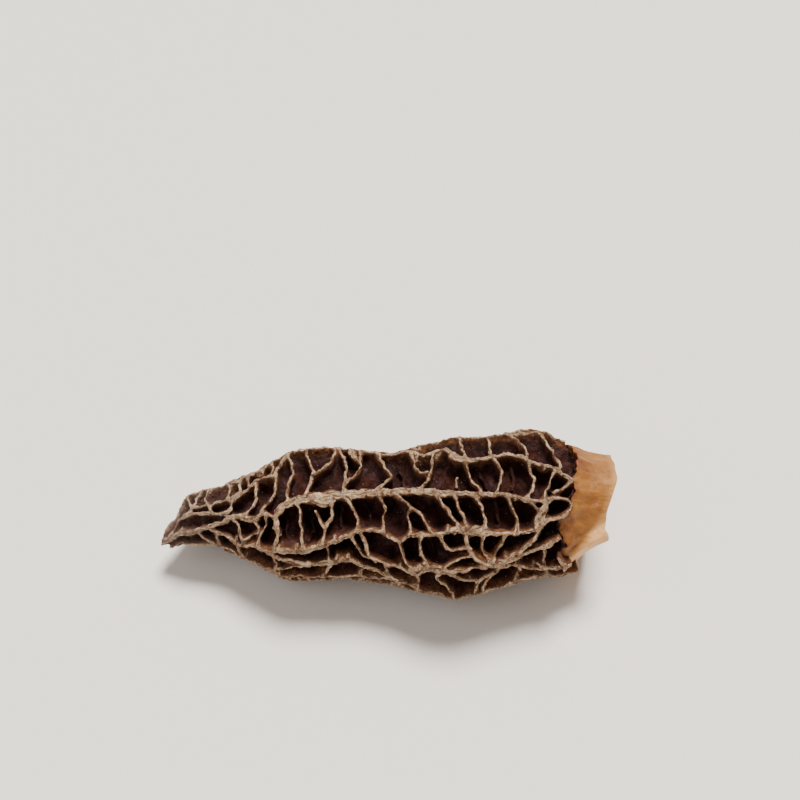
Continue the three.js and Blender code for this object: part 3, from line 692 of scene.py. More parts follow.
@dataclass
class RidgeNet:
    """The whole net: the ridges in sight, and the far side's by a seeded rule.

    A field named for a kind of ridge shapes that kind. A lift is how far a crest stands over the skin,
    a wave wavers it, a width wave is a share of its width, and a sway moves it aside. The run offset
    keeps one ridge's strands from matching the next one's.
    """

    form: BodyForm
    seed: int = 20417
    point_spacing: float = 0.6
    samples_per_span: int = 12
    run_offset: float = 37.0
    wall_sink: float = 0.9
    narrow_radius: float = 16.0

    far_ridges: tuple[FarRidge, ...] = (
        FarRidge(104, -39.5, 30.6, drawn=False), FarRidge(128, -30, 31), FarRidge(153, -39.5, 31),
        FarRidge(179, -33, 31), FarRidge(205, -39.5, 31), FarRidge(231, -31, 31.5),
        FarRidge(257, -39.5, 31.5), FarRidge(282, -38, 8, drawn=False),
    )
    far_back: FarRidge = FarRidge(288, 5, 32)
    far_above_back: FarRidge = FarRidge(322, 12, 31)
    far_step: float = 3.5
    far_widths: tuple[float, ...] = (0.7, 0.95, 0.7)
    far_rung_spacing: float = 5.6
    far_rung_slant: float = 2.2
    far_rung_bow: float = 1.4
    far_rung_end_gap: float = 2.0
    fine_start: tuple[float, float] = (1.5, 4.0)
    fine_spacing: tuple[float, float] = (4.0, 7.5)
    fine_end_gap: float = 1.5
    fine_slant: float = 1.9
    fine_bend: float = 1.1
    fine_stopped_share: float = 0.3
    fine_stopped_reach: tuple[float, float] = (0.45, 0.7)

    main_lift: float = -0.1
    main_waves: tuple[Wave, ...] = (Wave(0.2, 8.0), Wave(0.1, 2.4))
    main_width_wave: Wave = Wave(0.25, 3.1)
    main_sway: Wave = Wave(0.16, 2.9)
    rung_width: float = 0.4
    rung_width_factors: tuple[float, float] = (0.8, 1.3)
    rung_foot: float = 0.9
    rung_sag: float = 0.75
    rung_full_sag_radius: float = 9.0
    rung_wave: Wave = Wave(0.14, 2.6)
    rung_width_wave: Wave = Wave(0.22, 2.2)
    rung_sway: Wave = Wave(0.26, 3.4)
    tip_breadth: float = 0.7
    tip_from_x: float = -23.0
    tip_full_x: float = -33.0
    web_lift: tuple[float, float] = (-0.35, 0.25)
    web_breadth: tuple[float, float] = (0.25, 0.75)
    web_width_wave: Wave = Wave(0.2, 1.7)
    spur_spacing: float = 6.5
    spur_reach: tuple[float, float] = (0.4, 1.2)
    spur_lean: float = 0.8
    spur_widths: tuple[float, float] = (0.6, 0.3)
    spur_drop: tuple[float, float] = (-0.2, 0.9)
    spur_taper: float = 0.3
    spur_end_margin: int = 4
    fold_width: float = 0.4
    fold_depth: float = 0.58
    fold_arch: float = 0.35
    fold_wave: Wave = Wave(0.2, 2.6)
    fold_width_wave: Wave = Wave(0.3, 1.9)
    fold_sway: Wave = Wave(0.3, 3.4)
    rim_width: float = 0.5
    rim_inset: float = 0.25
    rim_lift: float = -1.45
    rim_wave: Wave = Wave(0.25, 3.0)
    rim_sway: Wave = Wave(0.3, 2.7)

    def _random_numbers(self) -> Iterator[float]:
        """The same seeded numbers from 0 to 1 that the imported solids' far rungs use.

        Returns:
            An endless run of numbers.
        """
        state, factor, step, span = self.seed, 1664525, 1013904223, 2**32
        while True:
            state = (state * factor + step) % span
            yield state / span

    def _rungs(self, routes: tuple[Route, ...], thin_skin: float = 0.0) -> list[Ridge]:
        """Rungs along routes."""
        return [Ridge(route, (self.rung_width,), RidgeKind.RUNG, thin_skin) for route in routes]

    def _far_bands(self) -> list[tuple[FarRidge, FarRidge]]:
        """The pairs of neighbours among the far ridges, up to the one along the back."""
        below_back = replace(self.far_ridges[-2], from_x=self.far_ridges[-1].to_x)
        return [*zip(self.far_ridges, self.far_ridges[1:]), (below_back, self.far_back)]

    def _far(self) -> list[Ridge]:
        """Lays the far side's ridges, and rungs that start half to one spacing from a band's end.

        Returns:
            The ridges, then the rungs.
        """
        numbers = self._random_numbers()
        ridges, routes = [], []
        for far in (*self.far_ridges, self.far_back):
            if far.drawn:
                xs = np.linspace(far.from_x, far.to_x, round((far.to_x - far.from_x) / self.far_step) + 1)
                ridges.append(Ridge(tuple(zip(xs, far.angle_at(xs))), self.far_widths))
        for low, high in [*self._far_bands(), (self.far_back, self.far_above_back)]:
            x = max(low.from_x, high.from_x) + self.far_rung_spacing * (0.5 + 0.5 * next(numbers))
            while x < min(low.to_x, high.to_x) - self.far_rung_end_gap:
                slant = self.far_rung_slant * (next(numbers) - 0.5)
                start, end = low.angle_at(x - slant), high.angle_at(x + slant)
                bow = self.far_rung_bow * (next(numbers) - 0.5)
                routes.append(((x - slant, start), (x + bow, (start + end) / 2), (x + slant, end)))
                x += self.far_rung_spacing * (0.75 + 0.5 * next(numbers))
        return ridges + self._rungs(routes)

    def _far_fine(self) -> list[Ridge]:
        """Lays slanting rungs between the far side's ridges, some of which stop half way.

        Returns:
            The rungs.
        """
        rng = np.random.default_rng(self.seed + 2)
        routes = []
        for low, high in self._far_bands():
            x = max(low.from_x, high.from_x) + rng.uniform(*self.fine_start)
            while x < min(low.to_x, high.to_x) - self.fine_end_gap:
                slant = rng.uniform(-self.fine_slant, self.fine_slant)
                bend = rng.uniform(-self.fine_bend, self.fine_bend)
                start, end = low.angle_at(x - slant), high.angle_at(x + slant)
                if rng.random() < self.fine_stopped_share:
                    end = start + (end - start) * rng.uniform(*self.fine_stopped_reach)
                routes.append(((x - slant, start), (x + bend, 0.6 * start + 0.4 * end), (x + slant, end)))
                x += rng.uniform(*self.fine_spacing)
        return self._rungs(routes)

    def _spurs(self) -> list[Ridge]:
        """Lays short torn spurs that stand out sideways from the main crests.

        Returns:
            The spurs, in the order of the ridges they stand on.
        """
        rng = np.random.default_rng(self.seed + 1)
        spurs = []
        for ridge in MAIN_RIDGES:
            route = catmull_rom(np.array(ridge.route, dtype=float), self.samples_per_span)
            degree = np.radians(self.form.radius(route[:, 0]))
            steps = np.diff(route, axis=0) * np.stack([np.ones_like(degree), degree], axis=-1)[1:]
            length = np.linalg.norm(steps, axis=1)
            for _ in range(int(length.sum() / self.spur_spacing)):
                i = rng.integers(self.spur_end_margin, len(steps) - self.spur_end_margin)
                ahead = steps[i] / length[i]
                aside = np.array([-ahead[1], ahead[0]]) * rng.choice([-1, 1])
                lean = rng.uniform(-self.spur_lean, self.spur_lean)
                reach = (aside + lean * ahead) * rng.uniform(*self.spur_reach)
                start, end = route[i + 1], route[i + 1] + reach / (1, degree[i + 1])
                points = (tuple(start), tuple((start + end) / 2), tuple(end))
                spurs.append(Ridge(points, self.spur_widths, RidgeKind.SPUR))
        return spurs

    def rim(self) -> Ridge:
        """Lays the low rim that closes the pits along the stem.

        Returns:
            The rim, as one ridge round the margin.
        """
        angles = np.arange(-60, 301, 6.0)
        route = tuple(zip(self.form.margin_x(angles) - self.rim_inset, angles))
        return Ridge(route, (self.rim_width,), RidgeKind.RIM)

    def low_lines(self) -> list[Ridge]:
        """The rim and the folds on the pits' floors, which no mealy crest follows."""
        return [self.rim(), *(Ridge(route, (self.fold_width,), RidgeKind.FOLD) for route in FOLD_ROUTES)]

    def ridges(self) -> list[Ridge]:
        """Gathers every ridge of the net that ends in a crest.

        Returns:
            The ridges, in the order in which they draw their random numbers.
        """
        webs = [Ridge(route, (width,), RidgeKind.WEB) for width, route in WEB_ROUTES]
        rungs = self._rungs(RUNG_ROUTES) + self._rungs(THIN_GLOWING_RUNG_ROUTES, thin_skin=1.0)
        far = self._far() + self._far_fine()
        return [*MAIN_RIDGES, *rungs, *webs, *self._spurs(), *far, *self._rungs(TIP_RUNG_ROUTES)]

    def _sampled(self, ridge: Ridge) -> tuple[np.ndarray, np.ndarray, np.ndarray]:
        """Sets points evenly along a ridge.

        Args:
            ridge: The ridge.

        Returns:
            The points' distances from its start, their x and their angles.
        """
        route = catmull_rom(np.array(ridge.route, dtype=float), self.samples_per_span)
        x, angle = route[:, 0], route[:, 1]
        crest = self.form.point(x, angle, self.form.radius(x))
        along = np.concatenate([[0], np.cumsum(np.linalg.norm(np.diff(crest, axis=0), axis=1))])
        at = np.linspace(0, along[-1], max(3, round(along[-1] / self.point_spacing)) + 1)
        return at, np.interp(at, along, x), np.interp(at, along, angle)

    def _shaped(
        self, ridge: Ridge, at: np.ndarray, x: np.ndarray, angle: np.ndarray, rng: np.random.Generator
    ) -> tuple[np.ndarray, np.ndarray, np.ndarray, np.ndarray]:
        """Gives a ridge the wavering of its kind.

        Args:
            ridge: The ridge.
            at: Its points' distances from its start.
            x: Their places along the body.
            angle: Their angles round it.
            rng: The random generator.

        Returns:
            The new x and angle, the crest's height over the skin, and the factor on its width.
        """
        share = at / at[-1]
        arch = np.sin(math.pi * share)
        radius = self.form.radius(x)
        if ridge.kind is RidgeKind.RUNG:
            sag = self.rung_sag * arch * np.minimum(1.0, radius / self.rung_full_sag_radius)
            lift = -sag + self.rung_wave.along(at, rng)
            thick = rng.uniform(*self.rung_width_factors) * (1 + self.rung_width_wave.along(at, rng))
            thick = thick + self.rung_foot * (1 - arch) ** 4
            x = x + self.rung_sway.along(at, rng, arch)
        elif ridge.kind is RidgeKind.WEB:
            (edge, rise), (narrow, swell) = self.web_lift, self.web_breadth
            lift = edge + rise * arch
            thick = (narrow + swell * arch) * (1 + self.web_width_wave.along(at, rng))
        elif ridge.kind is RidgeKind.SPUR:
            start, drop = self.spur_drop
            lift, thick = start - drop * share**2, 1 - self.spur_taper * share
        elif ridge.kind is RidgeKind.FOLD:
            lift = -self.fold_depth * self.form.pit_depth(x) - self.fold_arch * arch
            lift = lift + self.fold_wave.along(at, rng)
            thick = 1 + self.fold_width_wave.along(at, rng)
            x = x + self.fold_sway.along(at, rng, arch)
        elif ridge.kind is RidgeKind.RIM:
            lift, thick = self.rim_lift + self.rim_wave.along(at, rng), np.ones_like(at)
            x = x + self.rim_sway.along(at, rng)
        else:
            lift = sum(wave.along(at, rng) for wave in self.main_waves) + self.main_lift
            thick = 1 + self.main_width_wave.along(at, rng)
            angle = angle + np.degrees(self.main_sway.along(at, rng) / radius)
        return x, angle, lift, thick

    def make_lines(self, name: str, ridges: list[Ridge]) -> bpy.types.Object:
        """Makes crest lines: edges that carry their directions, widths, heights and run.

        Args:
            name: The object's name.
            ridges: The ridges whose crests are drawn.

        Returns:
            The object that carries the lines, with its values as point attributes in metres.
        """
        rng = np.random.default_rng(self.seed)
        form = self.form
        points, edges, marks = [], [], {}
        first = 0
        for number, ridge in enumerate(ridges):
            at, x, angle = self._sampled(ridge)
            radius = form.radius(x)
            x, angle, lift, thick = self._shaped(ridge, at, x, angle, rng)
            crest = form.point(x, angle, radius + lift)
            outward = form.point(x, angle, radius + 1) - form.point(x, angle, radius)
            width = np.interp(at / at[-1], np.linspace(0, 1, len(ridge.widths)), ridge.widths) * thick
            width = width * np.minimum(1.0, 0.5 + radius / self.narrow_radius)
            if ridge.kind is RidgeKind.RUNG:
                width = width * (1 + self.tip_breadth * ramp(x, self.tip_from_x, self.tip_full_x))
            columns = {
                "crest_width": width * MM,
                "wall_height": (form.pit_depth(x) + self.wall_sink + lift) * MM,
                "run": (at + number * self.run_offset) * MM,
                "thin_skin": np.full_like(at, ridge.thin_skin),
                "outward": unit(outward),
                "heading": unit(np.gradient(crest, axis=0)),
            }
            for label, column in columns.items():
                marks.setdefault(label, []).append(column)
            points.append(crest)
            edges += [(i, i + 1) for i in range(first, first + len(at) - 1)]
            first += len(at)
        lines = mesh_object(name, np.vstack(points), [], edges)
        for label, found in marks.items():
            store(lines.data, label, np.concatenate(found))
        return lines


def ridge_tree() -> bpy.types.NodeTree:
    """Makes the tree that sweeps a wall and a thicker crest along each line of the net.

    Returns:
        The tree, for the object that carries the lines.
    """
    tree, given = new_tree("net ridges", {
        "Wall Thickness": ("NodeSocketFloat", 0.00042),
        "Root Thickness": ("NodeSocketFloat", 0.0019),
        "Crest Flatness": ("NodeSocketFloat", 0.62),
        "Crest Sides": ("NodeSocketInt", 10),
        "Flesh": ("NodeSocketMaterial", None),
    })
    outward, width, height = (
        add_node(tree, "GeometryNodeInputNamedAttribute", {"Name": label}, data_type=kind)
        for label, kind in (("outward", "FLOAT_VECTOR"), ("crest_width", "FLOAT"), ("wall_height", "FLOAT"))
    )
    curves = add_node(tree, "GeometryNodeMeshToCurve", {"Mesh": given["Geometry"]})
    turned = add_node(tree, "GeometryNodeSetCurveNormal", {"Curve": curves, "Normal": outward}, mode="FREE")

    # A wall section one unit tall, hanging from its crest and scaled by the wall's height, so its
    # thicknesses are those of a wall of the usual height.
    usual_height, wall_hang, crest_sink = 0.0046, -0.52, -0.3
    top, root = (
        add_node(tree, "ShaderNodeMath", {0: given[label], 1: 1 / usual_height}, operation="MULTIPLY")
        for label in ("Wall Thickness", "Root Thickness")
    )
    section = add_node(
        tree, "GeometryNodeCurvePrimitiveQuadrilateral",
        {"Height": 1.0, "Bottom Width": root, "Top Width": top, "Offset": 0.0}, mode="TRAPEZOID",
    )
    hung = add_node(tree, "GeometryNodeTransform", {
        "Geometry": section, "Rotation": (0.0, 0.0, -math.pi / 2), "Translation": (wall_hang, 0.0, 0.0),
    })

    # A flattened round crest, scaled by its width.
    circle = add_node(
        tree, "GeometryNodeCurvePrimitiveCircle", {"Resolution": given["Crest Sides"], "Radius": 0.5}
    )
    flat = add_node(tree, "ShaderNodeCombineXYZ", {"X": given["Crest Flatness"], "Y": 1.0, "Z": 1.0})
    oval = add_node(tree, "GeometryNodeTransform", {
        "Geometry": circle, "Scale": flat, "Translation": (crest_sink, 0.0, 0.0),
    })
    walls, crests = (
        add_node(tree, "GeometryNodeCurveToMesh", {
            "Curve": turned, "Profile Curve": profile, "Scale": scale, "Fill Caps": True,
        })
        for profile, scale in ((hung, height), (oval, width))
    )
    both = add_node(tree, "GeometryNodeJoinGeometry", {0: [walls, crests]})
    end_tree(tree, both, given["Flesh"])
    return tree


def flesh_tree() -> bpy.types.NodeTree:
    """Makes the tree that softens the pits, wrinkles the flesh and frays and grooves the crests.

    Returns:
        The tree, for the fused cap.
    """
    tree, given = new_tree("dried flesh", {
        "Net Lines": ("NodeSocketObject", None),
        "Pit Softening": ("NodeSocketInt", 14),
        "Fold Size": ("NodeSocketFloat", 0.0046),
        "Fold Height": ("NodeSocketFloat", 0.0006),
        "Wrinkle Size": ("NodeSocketFloat", 0.0018),
        "Wrinkle Depth": ("NodeSocketFloat", 0.0005),
        "Fray Size": ("NodeSocketFloat", 0.00062),
        "Fray Depth": ("NodeSocketFloat", 0.0006),
        "Strand Width": ("NodeSocketFloat", 0.00042),
        "Strand Length": ("NodeSocketFloat", 0.003),
        "Strand Depth": ("NodeSocketFloat", 0.00024),
        "Groove Depth": ("NodeSocketFloat", 0.00018),
        "Seed": ("NodeSocketFloat", 3.0),
        "Flesh": ("NodeSocketMaterial", None),
    })

    def relief(
        size: str, depth: str, noise_type: str = "FBM", middle: float = 0.5, place: Value | None = None
    ) -> bpy.types.Node:
        """Adds a noise whose size and depth are inputs of the tree, counted from a middle value.

        Args:
            size: The name of the input that holds its size.
            depth: The name of the input that holds its depth.
            noise_type: The noise texture's type.
            middle: The noise value that leaves the surface where it is.
            place: The coordinates it lies in, if not the points' own.

        Returns:
            The node whose value is the relief's height.
        """
        scale = add_node(tree, "ShaderNodeMath", {0: 1.0, 1: given[size]}, operation="DIVIDE")
        inputs = {"W": given["Seed"], "Scale": scale, "Detail": 1.0, "Roughness": 0.5}
        if place is not None:
            inputs["Vector"] = place
        texture = add_node(tree, "ShaderNodeTexNoise", inputs, noise_dimensions="4D", noise_type=noise_type)
        centred = add_node(tree, "ShaderNodeMath", {0: texture, 1: middle}, operation="SUBTRACT")
        return add_node(tree, "ShaderNodeMath", {0: centred, 1: given[depth]}, operation="MULTIPLY")

    softness = add_node(tree, "ShaderNodeMapRange", {
        "Value": measure_crests(tree, given["Net Lines"]).gap,
        "From Min": 0.0001, "From Max": 0.0012, "To Min": 0.06, "To Max": 1.0,
    })
    place = add_node(tree, "GeometryNodeInputPosition")
    soft = add_node(
        tree, "GeometryNodeBlurAttribute",
        {"Value": place, "Iterations": given["Pit Softening"], "Weight": softness}, data_type="FLOAT_VECTOR",
    )
    softened = add_node(tree, "GeometryNodeSetPosition", {"Geometry": given["Geometry"], "Position": soft})
    measures = measure_crests(tree, given["Net Lines"])
    in_pit = add_node(tree, "ShaderNodeMapRange", {
        "Value": measures.gap, "From Min": 0.0006, "From Max": 0.0018, "To Min": 0.0, "To Max": 1.0,
    })
    on_crest = add_node(tree, "ShaderNodeMapRange", {
        "Value": measures.gap, "From Min": 0.0, "From Max": 0.0009, "To Min": 1.0, "To Max": 0.0,
    })
    fold = relief("Fold Size", "Fold Height", "RIDGED_MULTIFRACTAL", 0.6)
    wrinkle = relief("Wrinkle Size", "Wrinkle Depth")
    fray = relief("Fray Size", "Fray Depth")

    # Strands run along the crest, and a wide crest sinks a little between its edges.
    drawn_out = add_node(
        tree, "ShaderNodeMath", {0: given["Strand Width"], 1: given["Strand Length"]}, operation="DIVIDE"
    )
    squeezed = add_node(tree, "ShaderNodeMath", {0: measures.run, 1: drawn_out}, operation="MULTIPLY")
    by_crest = add_node(tree, "ShaderNodeCombineXYZ", {"X": squeezed, "Y": measures.side})
    strands = relief("Strand Width", "Strand Depth", place=by_crest)
    broad = add_node(tree, "ShaderNodeMapRange", {
        "Value": measures.width, "From Min": 0.0008, "From Max": 0.0015,
    })
    sunk = add_node(tree, "ShaderNodeMapRange", {
        "Value": measures.edge, "From Min": 0.0, "From Max": 0.75, "To Min": 1.0, "To Max": 0.0,
    }, interpolation_type="SMOOTHSTEP")
    sunk_share = add_node(tree, "ShaderNodeMath", {0: broad, 1: sunk}, operation="MULTIPLY")
    groove = add_node(
        tree, "ShaderNodeMath", {0: sunk_share, 1: given["Groove Depth"]}, operation="MULTIPLY"
    )
    woven = add_node(tree, "ShaderNodeMath", {0: strands, 1: fray}, operation="ADD")
    crest_relief = add_node(tree, "ShaderNodeMath", {0: woven, 1: groove}, operation="SUBTRACT")
    folded = add_node(tree, "ShaderNodeMath", {0: fold, 1: in_pit, 2: wrinkle}, operation="MULTIPLY_ADD")
    frayed = add_node(
        tree, "ShaderNodeMath", {0: crest_relief, 1: on_crest, 2: folded}, operation="MULTIPLY_ADD"
    )
    normal = add_node(tree, "GeometryNodeInputNormal")
    push = add_node(tree, "ShaderNodeVectorMath", {0: normal, "Scale": frayed}, operation="SCALE")
    wrinkled = add_node(tree, "GeometryNodeSetPosition", {"Geometry": softened, "Offset": push})
    end_tree(tree, wrinkled, given["Flesh"])
    return tree


@dataclass(frozen=True)
class CrestMeasures:
    """Sockets that say where a point lies by the nearest crest, in metres apart from the last two."""

    gap: bpy.types.NodeSocket
    run: bpy.types.NodeSocket
    side: bpy.types.NodeSocket
    width: bpy.types.NodeSocket
    edge: bpy.types.NodeSocket
    thin_skin: bpy.types.NodeSocket


def measure_crests(tree: bpy.types.NodeTree, lines: bpy.types.NodeSocket) -> CrestMeasures:
    """Adds the nodes that place a point by the nearest crest.

    Args:
        tree: The tree to add to.
        lines: The socket that holds the object with the crest lines.

    Returns:
        How far the point is from the crest's middle part, how far it is along the crest and to its
        side, the crest's width, how near the point is to the crest's edge from 0 to 1, and how thin
        the wall is, which sets its painted orange glow.
    """
    middle_share = 0.32
    info = add_node(tree, "GeometryNodeObjectInfo", {"Object": lines}, transform_space="ORIGINAL")
    net = info.outputs["Geometry"]
    near = add_node(tree, "GeometryNodeProximity", {"Geometry": net}, target_element="EDGES")
    index = add_node(tree, "GeometryNodeSampleNearest", {"Geometry": net}, domain="POINT")
    place = add_node(tree, "GeometryNodeInputPosition")
    kinds = {
        "place": "FLOAT_VECTOR", "crest_width": "FLOAT", "run": "FLOAT", "thin_skin": "FLOAT",
        "outward": "FLOAT_VECTOR", "heading": "FLOAT_VECTOR",
    }
    found = {}
    for label, kind in kinds.items():
        value = place
        if label != "place":
            value = add_node(tree, "GeometryNodeInputNamedAttribute", {"Name": label}, data_type=kind)
        found[label] = add_node(
            tree, "GeometryNodeSampleIndex", {"Geometry": net, "Value": value, "Index": index},
            data_type=kind, domain="POINT",
        ).outputs[0]
    offset = add_node(tree, "ShaderNodeVectorMath", {0: place, 1: found["place"]}, operation="SUBTRACT")
    sideways = add_node(
        tree, "ShaderNodeVectorMath", {0: found["outward"], 1: found["heading"]}, operation="CROSS_PRODUCT"
    )
    onward, side = (
        add_node(tree, "ShaderNodeVectorMath", {0: offset, 1: way}, operation="DOT_PRODUCT").outputs["Value"]
        for way in (found["heading"], sideways)
    )
    run = add_node(tree, "ShaderNodeMath", {0: found["run"], 1: onward}, operation="ADD").outputs[0]
    beyond = add_node(
        tree, "ShaderNodeMath", {0: found["crest_width"], 1: -middle_share, 2: near.outputs["Distance"]},
        operation="MULTIPLY_ADD",
    )
    gap = add_node(tree, "ShaderNodeMath", {0: beyond, 1: 0.0}, operation="MAXIMUM").outputs[0]
    aside = add_node(tree, "ShaderNodeMath", {0: side}, operation="ABSOLUTE")
    half_width = add_node(tree, "ShaderNodeMath", {0: found["crest_width"], 1: 0.5}, operation="MULTIPLY")
    edge = add_node(tree, "ShaderNodeMath", {0: aside, 1: half_width}, operation="DIVIDE", use_clamp=True)
    return CrestMeasures(gap, run, side, found["crest_width"], edge.outputs[0], found["thin_skin"])


def mark_tree() -> bpy.types.NodeTree:
    """Makes the tree that stores each point's place by the nearest crest for the flesh's material.

    Returns:
        The tree, for the thinned cap.
    """
    tree, given = new_tree("crest marks", {
        "Net Lines": ("NodeSocketObject", None), "Flesh": ("NodeSocketMaterial", None),
    })
    measures = measure_crests(tree, given["Net Lines"])
    geometry = given["Geometry"]
    marks = {
        "crest_gap": measures.gap, "crest_run": measures.run, "crest_side": measures.side,
        "crest_edge": measures.edge, "wall_thin": measures.thin_skin,
    }
    for label, value in marks.items():
        geometry = add_node(
            tree, "GeometryNodeStoreNamedAttribute", {"Geometry": geometry, "Name": label, "Value": value},
            data_type="FLOAT", domain="POINT",
        )
    end_tree(tree, geometry, given["Flesh"])
    return tree


# ---------------------------------------------------------------- finishes


@dataclass(frozen=True)
class Blotches:
    """Soft blotches: a noise of a size, stretched to run from 0 to 1 between two of its values."""

    size_mm: float
    low: float
    high: float

    def add(self, tree: bpy.types.NodeTree, place: Value) -> bpy.types.Node:
        """Adds the blotches to a material.

        Args:
            tree: The material's tree.
            place: The coordinates that they lie in.

        Returns:
            The node whose value is their strength.
        """
        noise = add_node(tree, "ShaderNodeTexNoise", {
            "Vector": place, "Scale": per_metre(self.size_mm), "Detail": 3.0, "Roughness": 0.6,
        })
        return add_node(tree, "ShaderNodeMapRange", {
            "Value": noise, "From Min": self.low, "From Max": self.high,
        })


def new_material(name: str) -> tuple[bpy.types.Material, bpy.types.NodeTree]:
    """Makes a material with an empty tree.

    Args:
        name: The material's name.

    Returns:
        The material and its tree.
    """
    material = bpy.data.materials.new(name)
    material.use_nodes = True
    material.node_tree.nodes.clear()
    return material, material.node_tree


def paint(
    tree: bpy.types.NodeTree, base: str | bpy.types.NodeSocket,
    layers: list[tuple[Value, str | bpy.types.NodeSocket]],
) -> bpy.types.NodeSocket:
    """Lays colours over a base, each as strongly as its own share says.

    Args:
        tree: The material's tree.
        base: The lowest colour, as a hex value or a socket.
        layers: The share and the colour of each layer, from the lowest up.

    Returns:
        The colour of it all.
    """
    for share, colour in layers:
        under, over = (linear(shade) if isinstance(shade, str) else shade for shade in (base, colour))
        base = add_node(
            tree, "ShaderNodeMix", {"Factor": share, 6: under, 7: over}, data_type="RGBA"
        ).outputs[2]
    return base


def end_material(
    tree: bpy.types.NodeTree, colour: bpy.types.NodeSocket, relief: bpy.types.Node, bump: float,
    values: dict[str, Value],
) -> None:
    """Ends a material in low bumps of a quarter of a millimetre, the shader and the output.

    Args:
        tree: The material's tree.
        colour: The surface's colour.
        relief: The node whose value is the bumps' height.
        bump: The bumps' strength.
        values: The shader's other inputs, by name.
    """
    bumps = add_node(tree, "ShaderNodeBump", {"Height": relief, "Strength": bump, "Distance": 0.25 * MM})
    shader = add_node(tree, "ShaderNodeBsdfPrincipled", {"Base Color": colour, "Normal": bumps, **values})
    add_node(tree, "ShaderNodeOutputMaterial", {"Surface": shader})


@dataclass(frozen=True)
class CapFleshFinish:
    """Dried morel flesh: near black in the pits, partly painted shade, red brown on the walls, mealy tan on
    the crests.
    """

    # Partly the pits' own dark flesh, partly painted shade deep in them.
    pit: str = "#240a05"
    pit_red: str = "#3b180d"
    # A painted sheen on some pit floors.
    pit_painted_sheen: str = "#523534"
    wall: str = "#482510"
    # A painted orange glow, as of light shining through thin walls.
    wall_painted_glow: str = "#8a5a33"
    shoulder: str = "#674631"
    shoulder_dark: str = "#4c2c1c"
    # Dark between the crests' strands: partly the flesh, partly painted shade in the gaps.
    crest_gap: str = "#4e3122"
    crest_dull: str = "#7c5c40"
    crest: str = "#aa8a68"
    # Light mealy meal on the crests, and the painted highlight on their edges.
    crest_meal_and_highlight: str = "#efd3b2"
    crest_bleached: str = "#c3ae8d"
    dust: str = "#8b786c"
    speck: str = "#c4b09c"

    grains: Blotches = Blotches(0.33, 0.4, 0.6)
    flecks: Blotches = Blotches(1.1, 0.38, 0.62)
    strands: Blotches = Blotches(0.3, 0.36, 0.58)
    unworn: Blotches = Blotches(1.8, 0.42, 0.58)
    bleached: Blotches = Blotches(7.0, 0.5, 0.62)
    # Where the walls get the painted orange glow.
    thin_glow_places: Blotches = Blotches(2.6, 0.46, 0.68)
    reddish: Blotches = Blotches(2.8, 0.42, 0.64)
    # Patches of the painted sheen in the pits.
    painted_sheen_patches: Blotches = Blotches(3.2, 0.5, 0.66)
    specked_places: Blotches = Blotches(2.4, 0.46, 0.56)
    strand_stretch: float = 0.12
    speck_spacing: float = 1.0

    # Distances from a crest over which its colour gives way to that of the wall's top, then of the
    # wall and of the pit; the darkening down into the pits is partly painted shade. The tip's fine net
    # and its dust fade out over tip_x.
    zones: tuple[tuple[float, float], ...] = ((0.0, 0.28), (0.3, 0.9), (0.5, 1.8))
    zone_unevenness: float = 0.18
    tip_x: tuple[float, float] = (-41.0, -24.0)

    def _crests(
        self, tree: bpy.types.NodeTree, place: Value, edge: bpy.types.NodeSocket,
        grains: bpy.types.Node, flecks: bpy.types.Node, strands: bpy.types.Node,
    ) -> bpy.types.NodeSocket:
        """The crests: dull where the mealy skin is worn, dark between strands, partly with painted shade,
        light on grains, and with a painted highlight on their edges.

        Args:
            tree: The material's tree.
            place: The coordinates of the large blotches.
            edge: How near a point is to its crest's edge.
            grains: The mealy grains.
            flecks: Blotches that thin out the meal and the painted edge highlight.
            strands: The strands along the crest.

        Returns:
            The crests' colour.
        """
        bleached = add_node(
            tree, "ShaderNodeMapRange", {"Value": self.bleached.add(tree, place), "To Max": 0.65}
        )
        skin = paint(tree, self.crest_dull, [
            (self.unworn.add(tree, place), self.crest), (bleached, self.crest_bleached),
        ])
        # A painted highlight on each crest's edges.
        painted_edge_highlight = add_node(tree, "ShaderNodeMapRange", {"Value": edge, "From Min": 0.25, "From Max": 0.75})
        sparse = add_node(tree, "ShaderNodeMapRange", {"Value": flecks, "To Min": 0.3, "To Max": 1.0})
        mealy = add_node(tree, "ShaderNodeMath", {0: painted_edge_highlight, 1: grains}, operation="MAXIMUM")
        on_strands = add_node(tree, "ShaderNodeMath", {0: mealy, 1: strands}, operation="MULTIPLY")
        meal = add_node(tree, "ShaderNodeMath", {0: on_strands, 1: sparse}, operation="MULTIPLY")
        return paint(tree, self.crest_gap, [(strands, skin), (meal, self.crest_meal_and_highlight)])

    def make(self) -> bpy.types.Material:
        """Builds the material; the crests are powdery, and the pits have a faint waxy sheen and patches of
        painted sheen.

        Returns:
            The material, which reads the marks that the mark tree stores.
        """
        material, tree = new_material("dried morel cap flesh")
        place = add_node(tree, "ShaderNodeTexCoord").outputs["Object"]
        gap, run, side, edge, thin = (
            add_node(tree, "ShaderNodeAttribute", attribute_name=label).outputs["Fac"]
            for label in ("crest_gap", "crest_run", "crest_side", "crest_edge", "wall_thin")
        )
        squeezed = add_node(tree, "ShaderNodeMath", {0: run, 1: self.strand_stretch}, operation="MULTIPLY")
        by_crest = add_node(tree, "ShaderNodeCombineXYZ", {"X": squeezed, "Y": side})
        grains = self.grains.add(tree, place)
        flecks = self.flecks.add(tree, place)
        strands = self.strands.add(tree, by_crest)
        along = add_node(tree, "ShaderNodeSeparateXYZ", {0: place})
        tip = add_node(tree, "ShaderNodeMapRange", {
            "Value": along, "From Min": self.tip_x[0] * MM, "From Max": self.tip_x[1] * MM,
            "To Min": 1.0, "To Max": 0.0,
        })
        crest = self._crests(tree, place, edge, grains, flecks, strands)

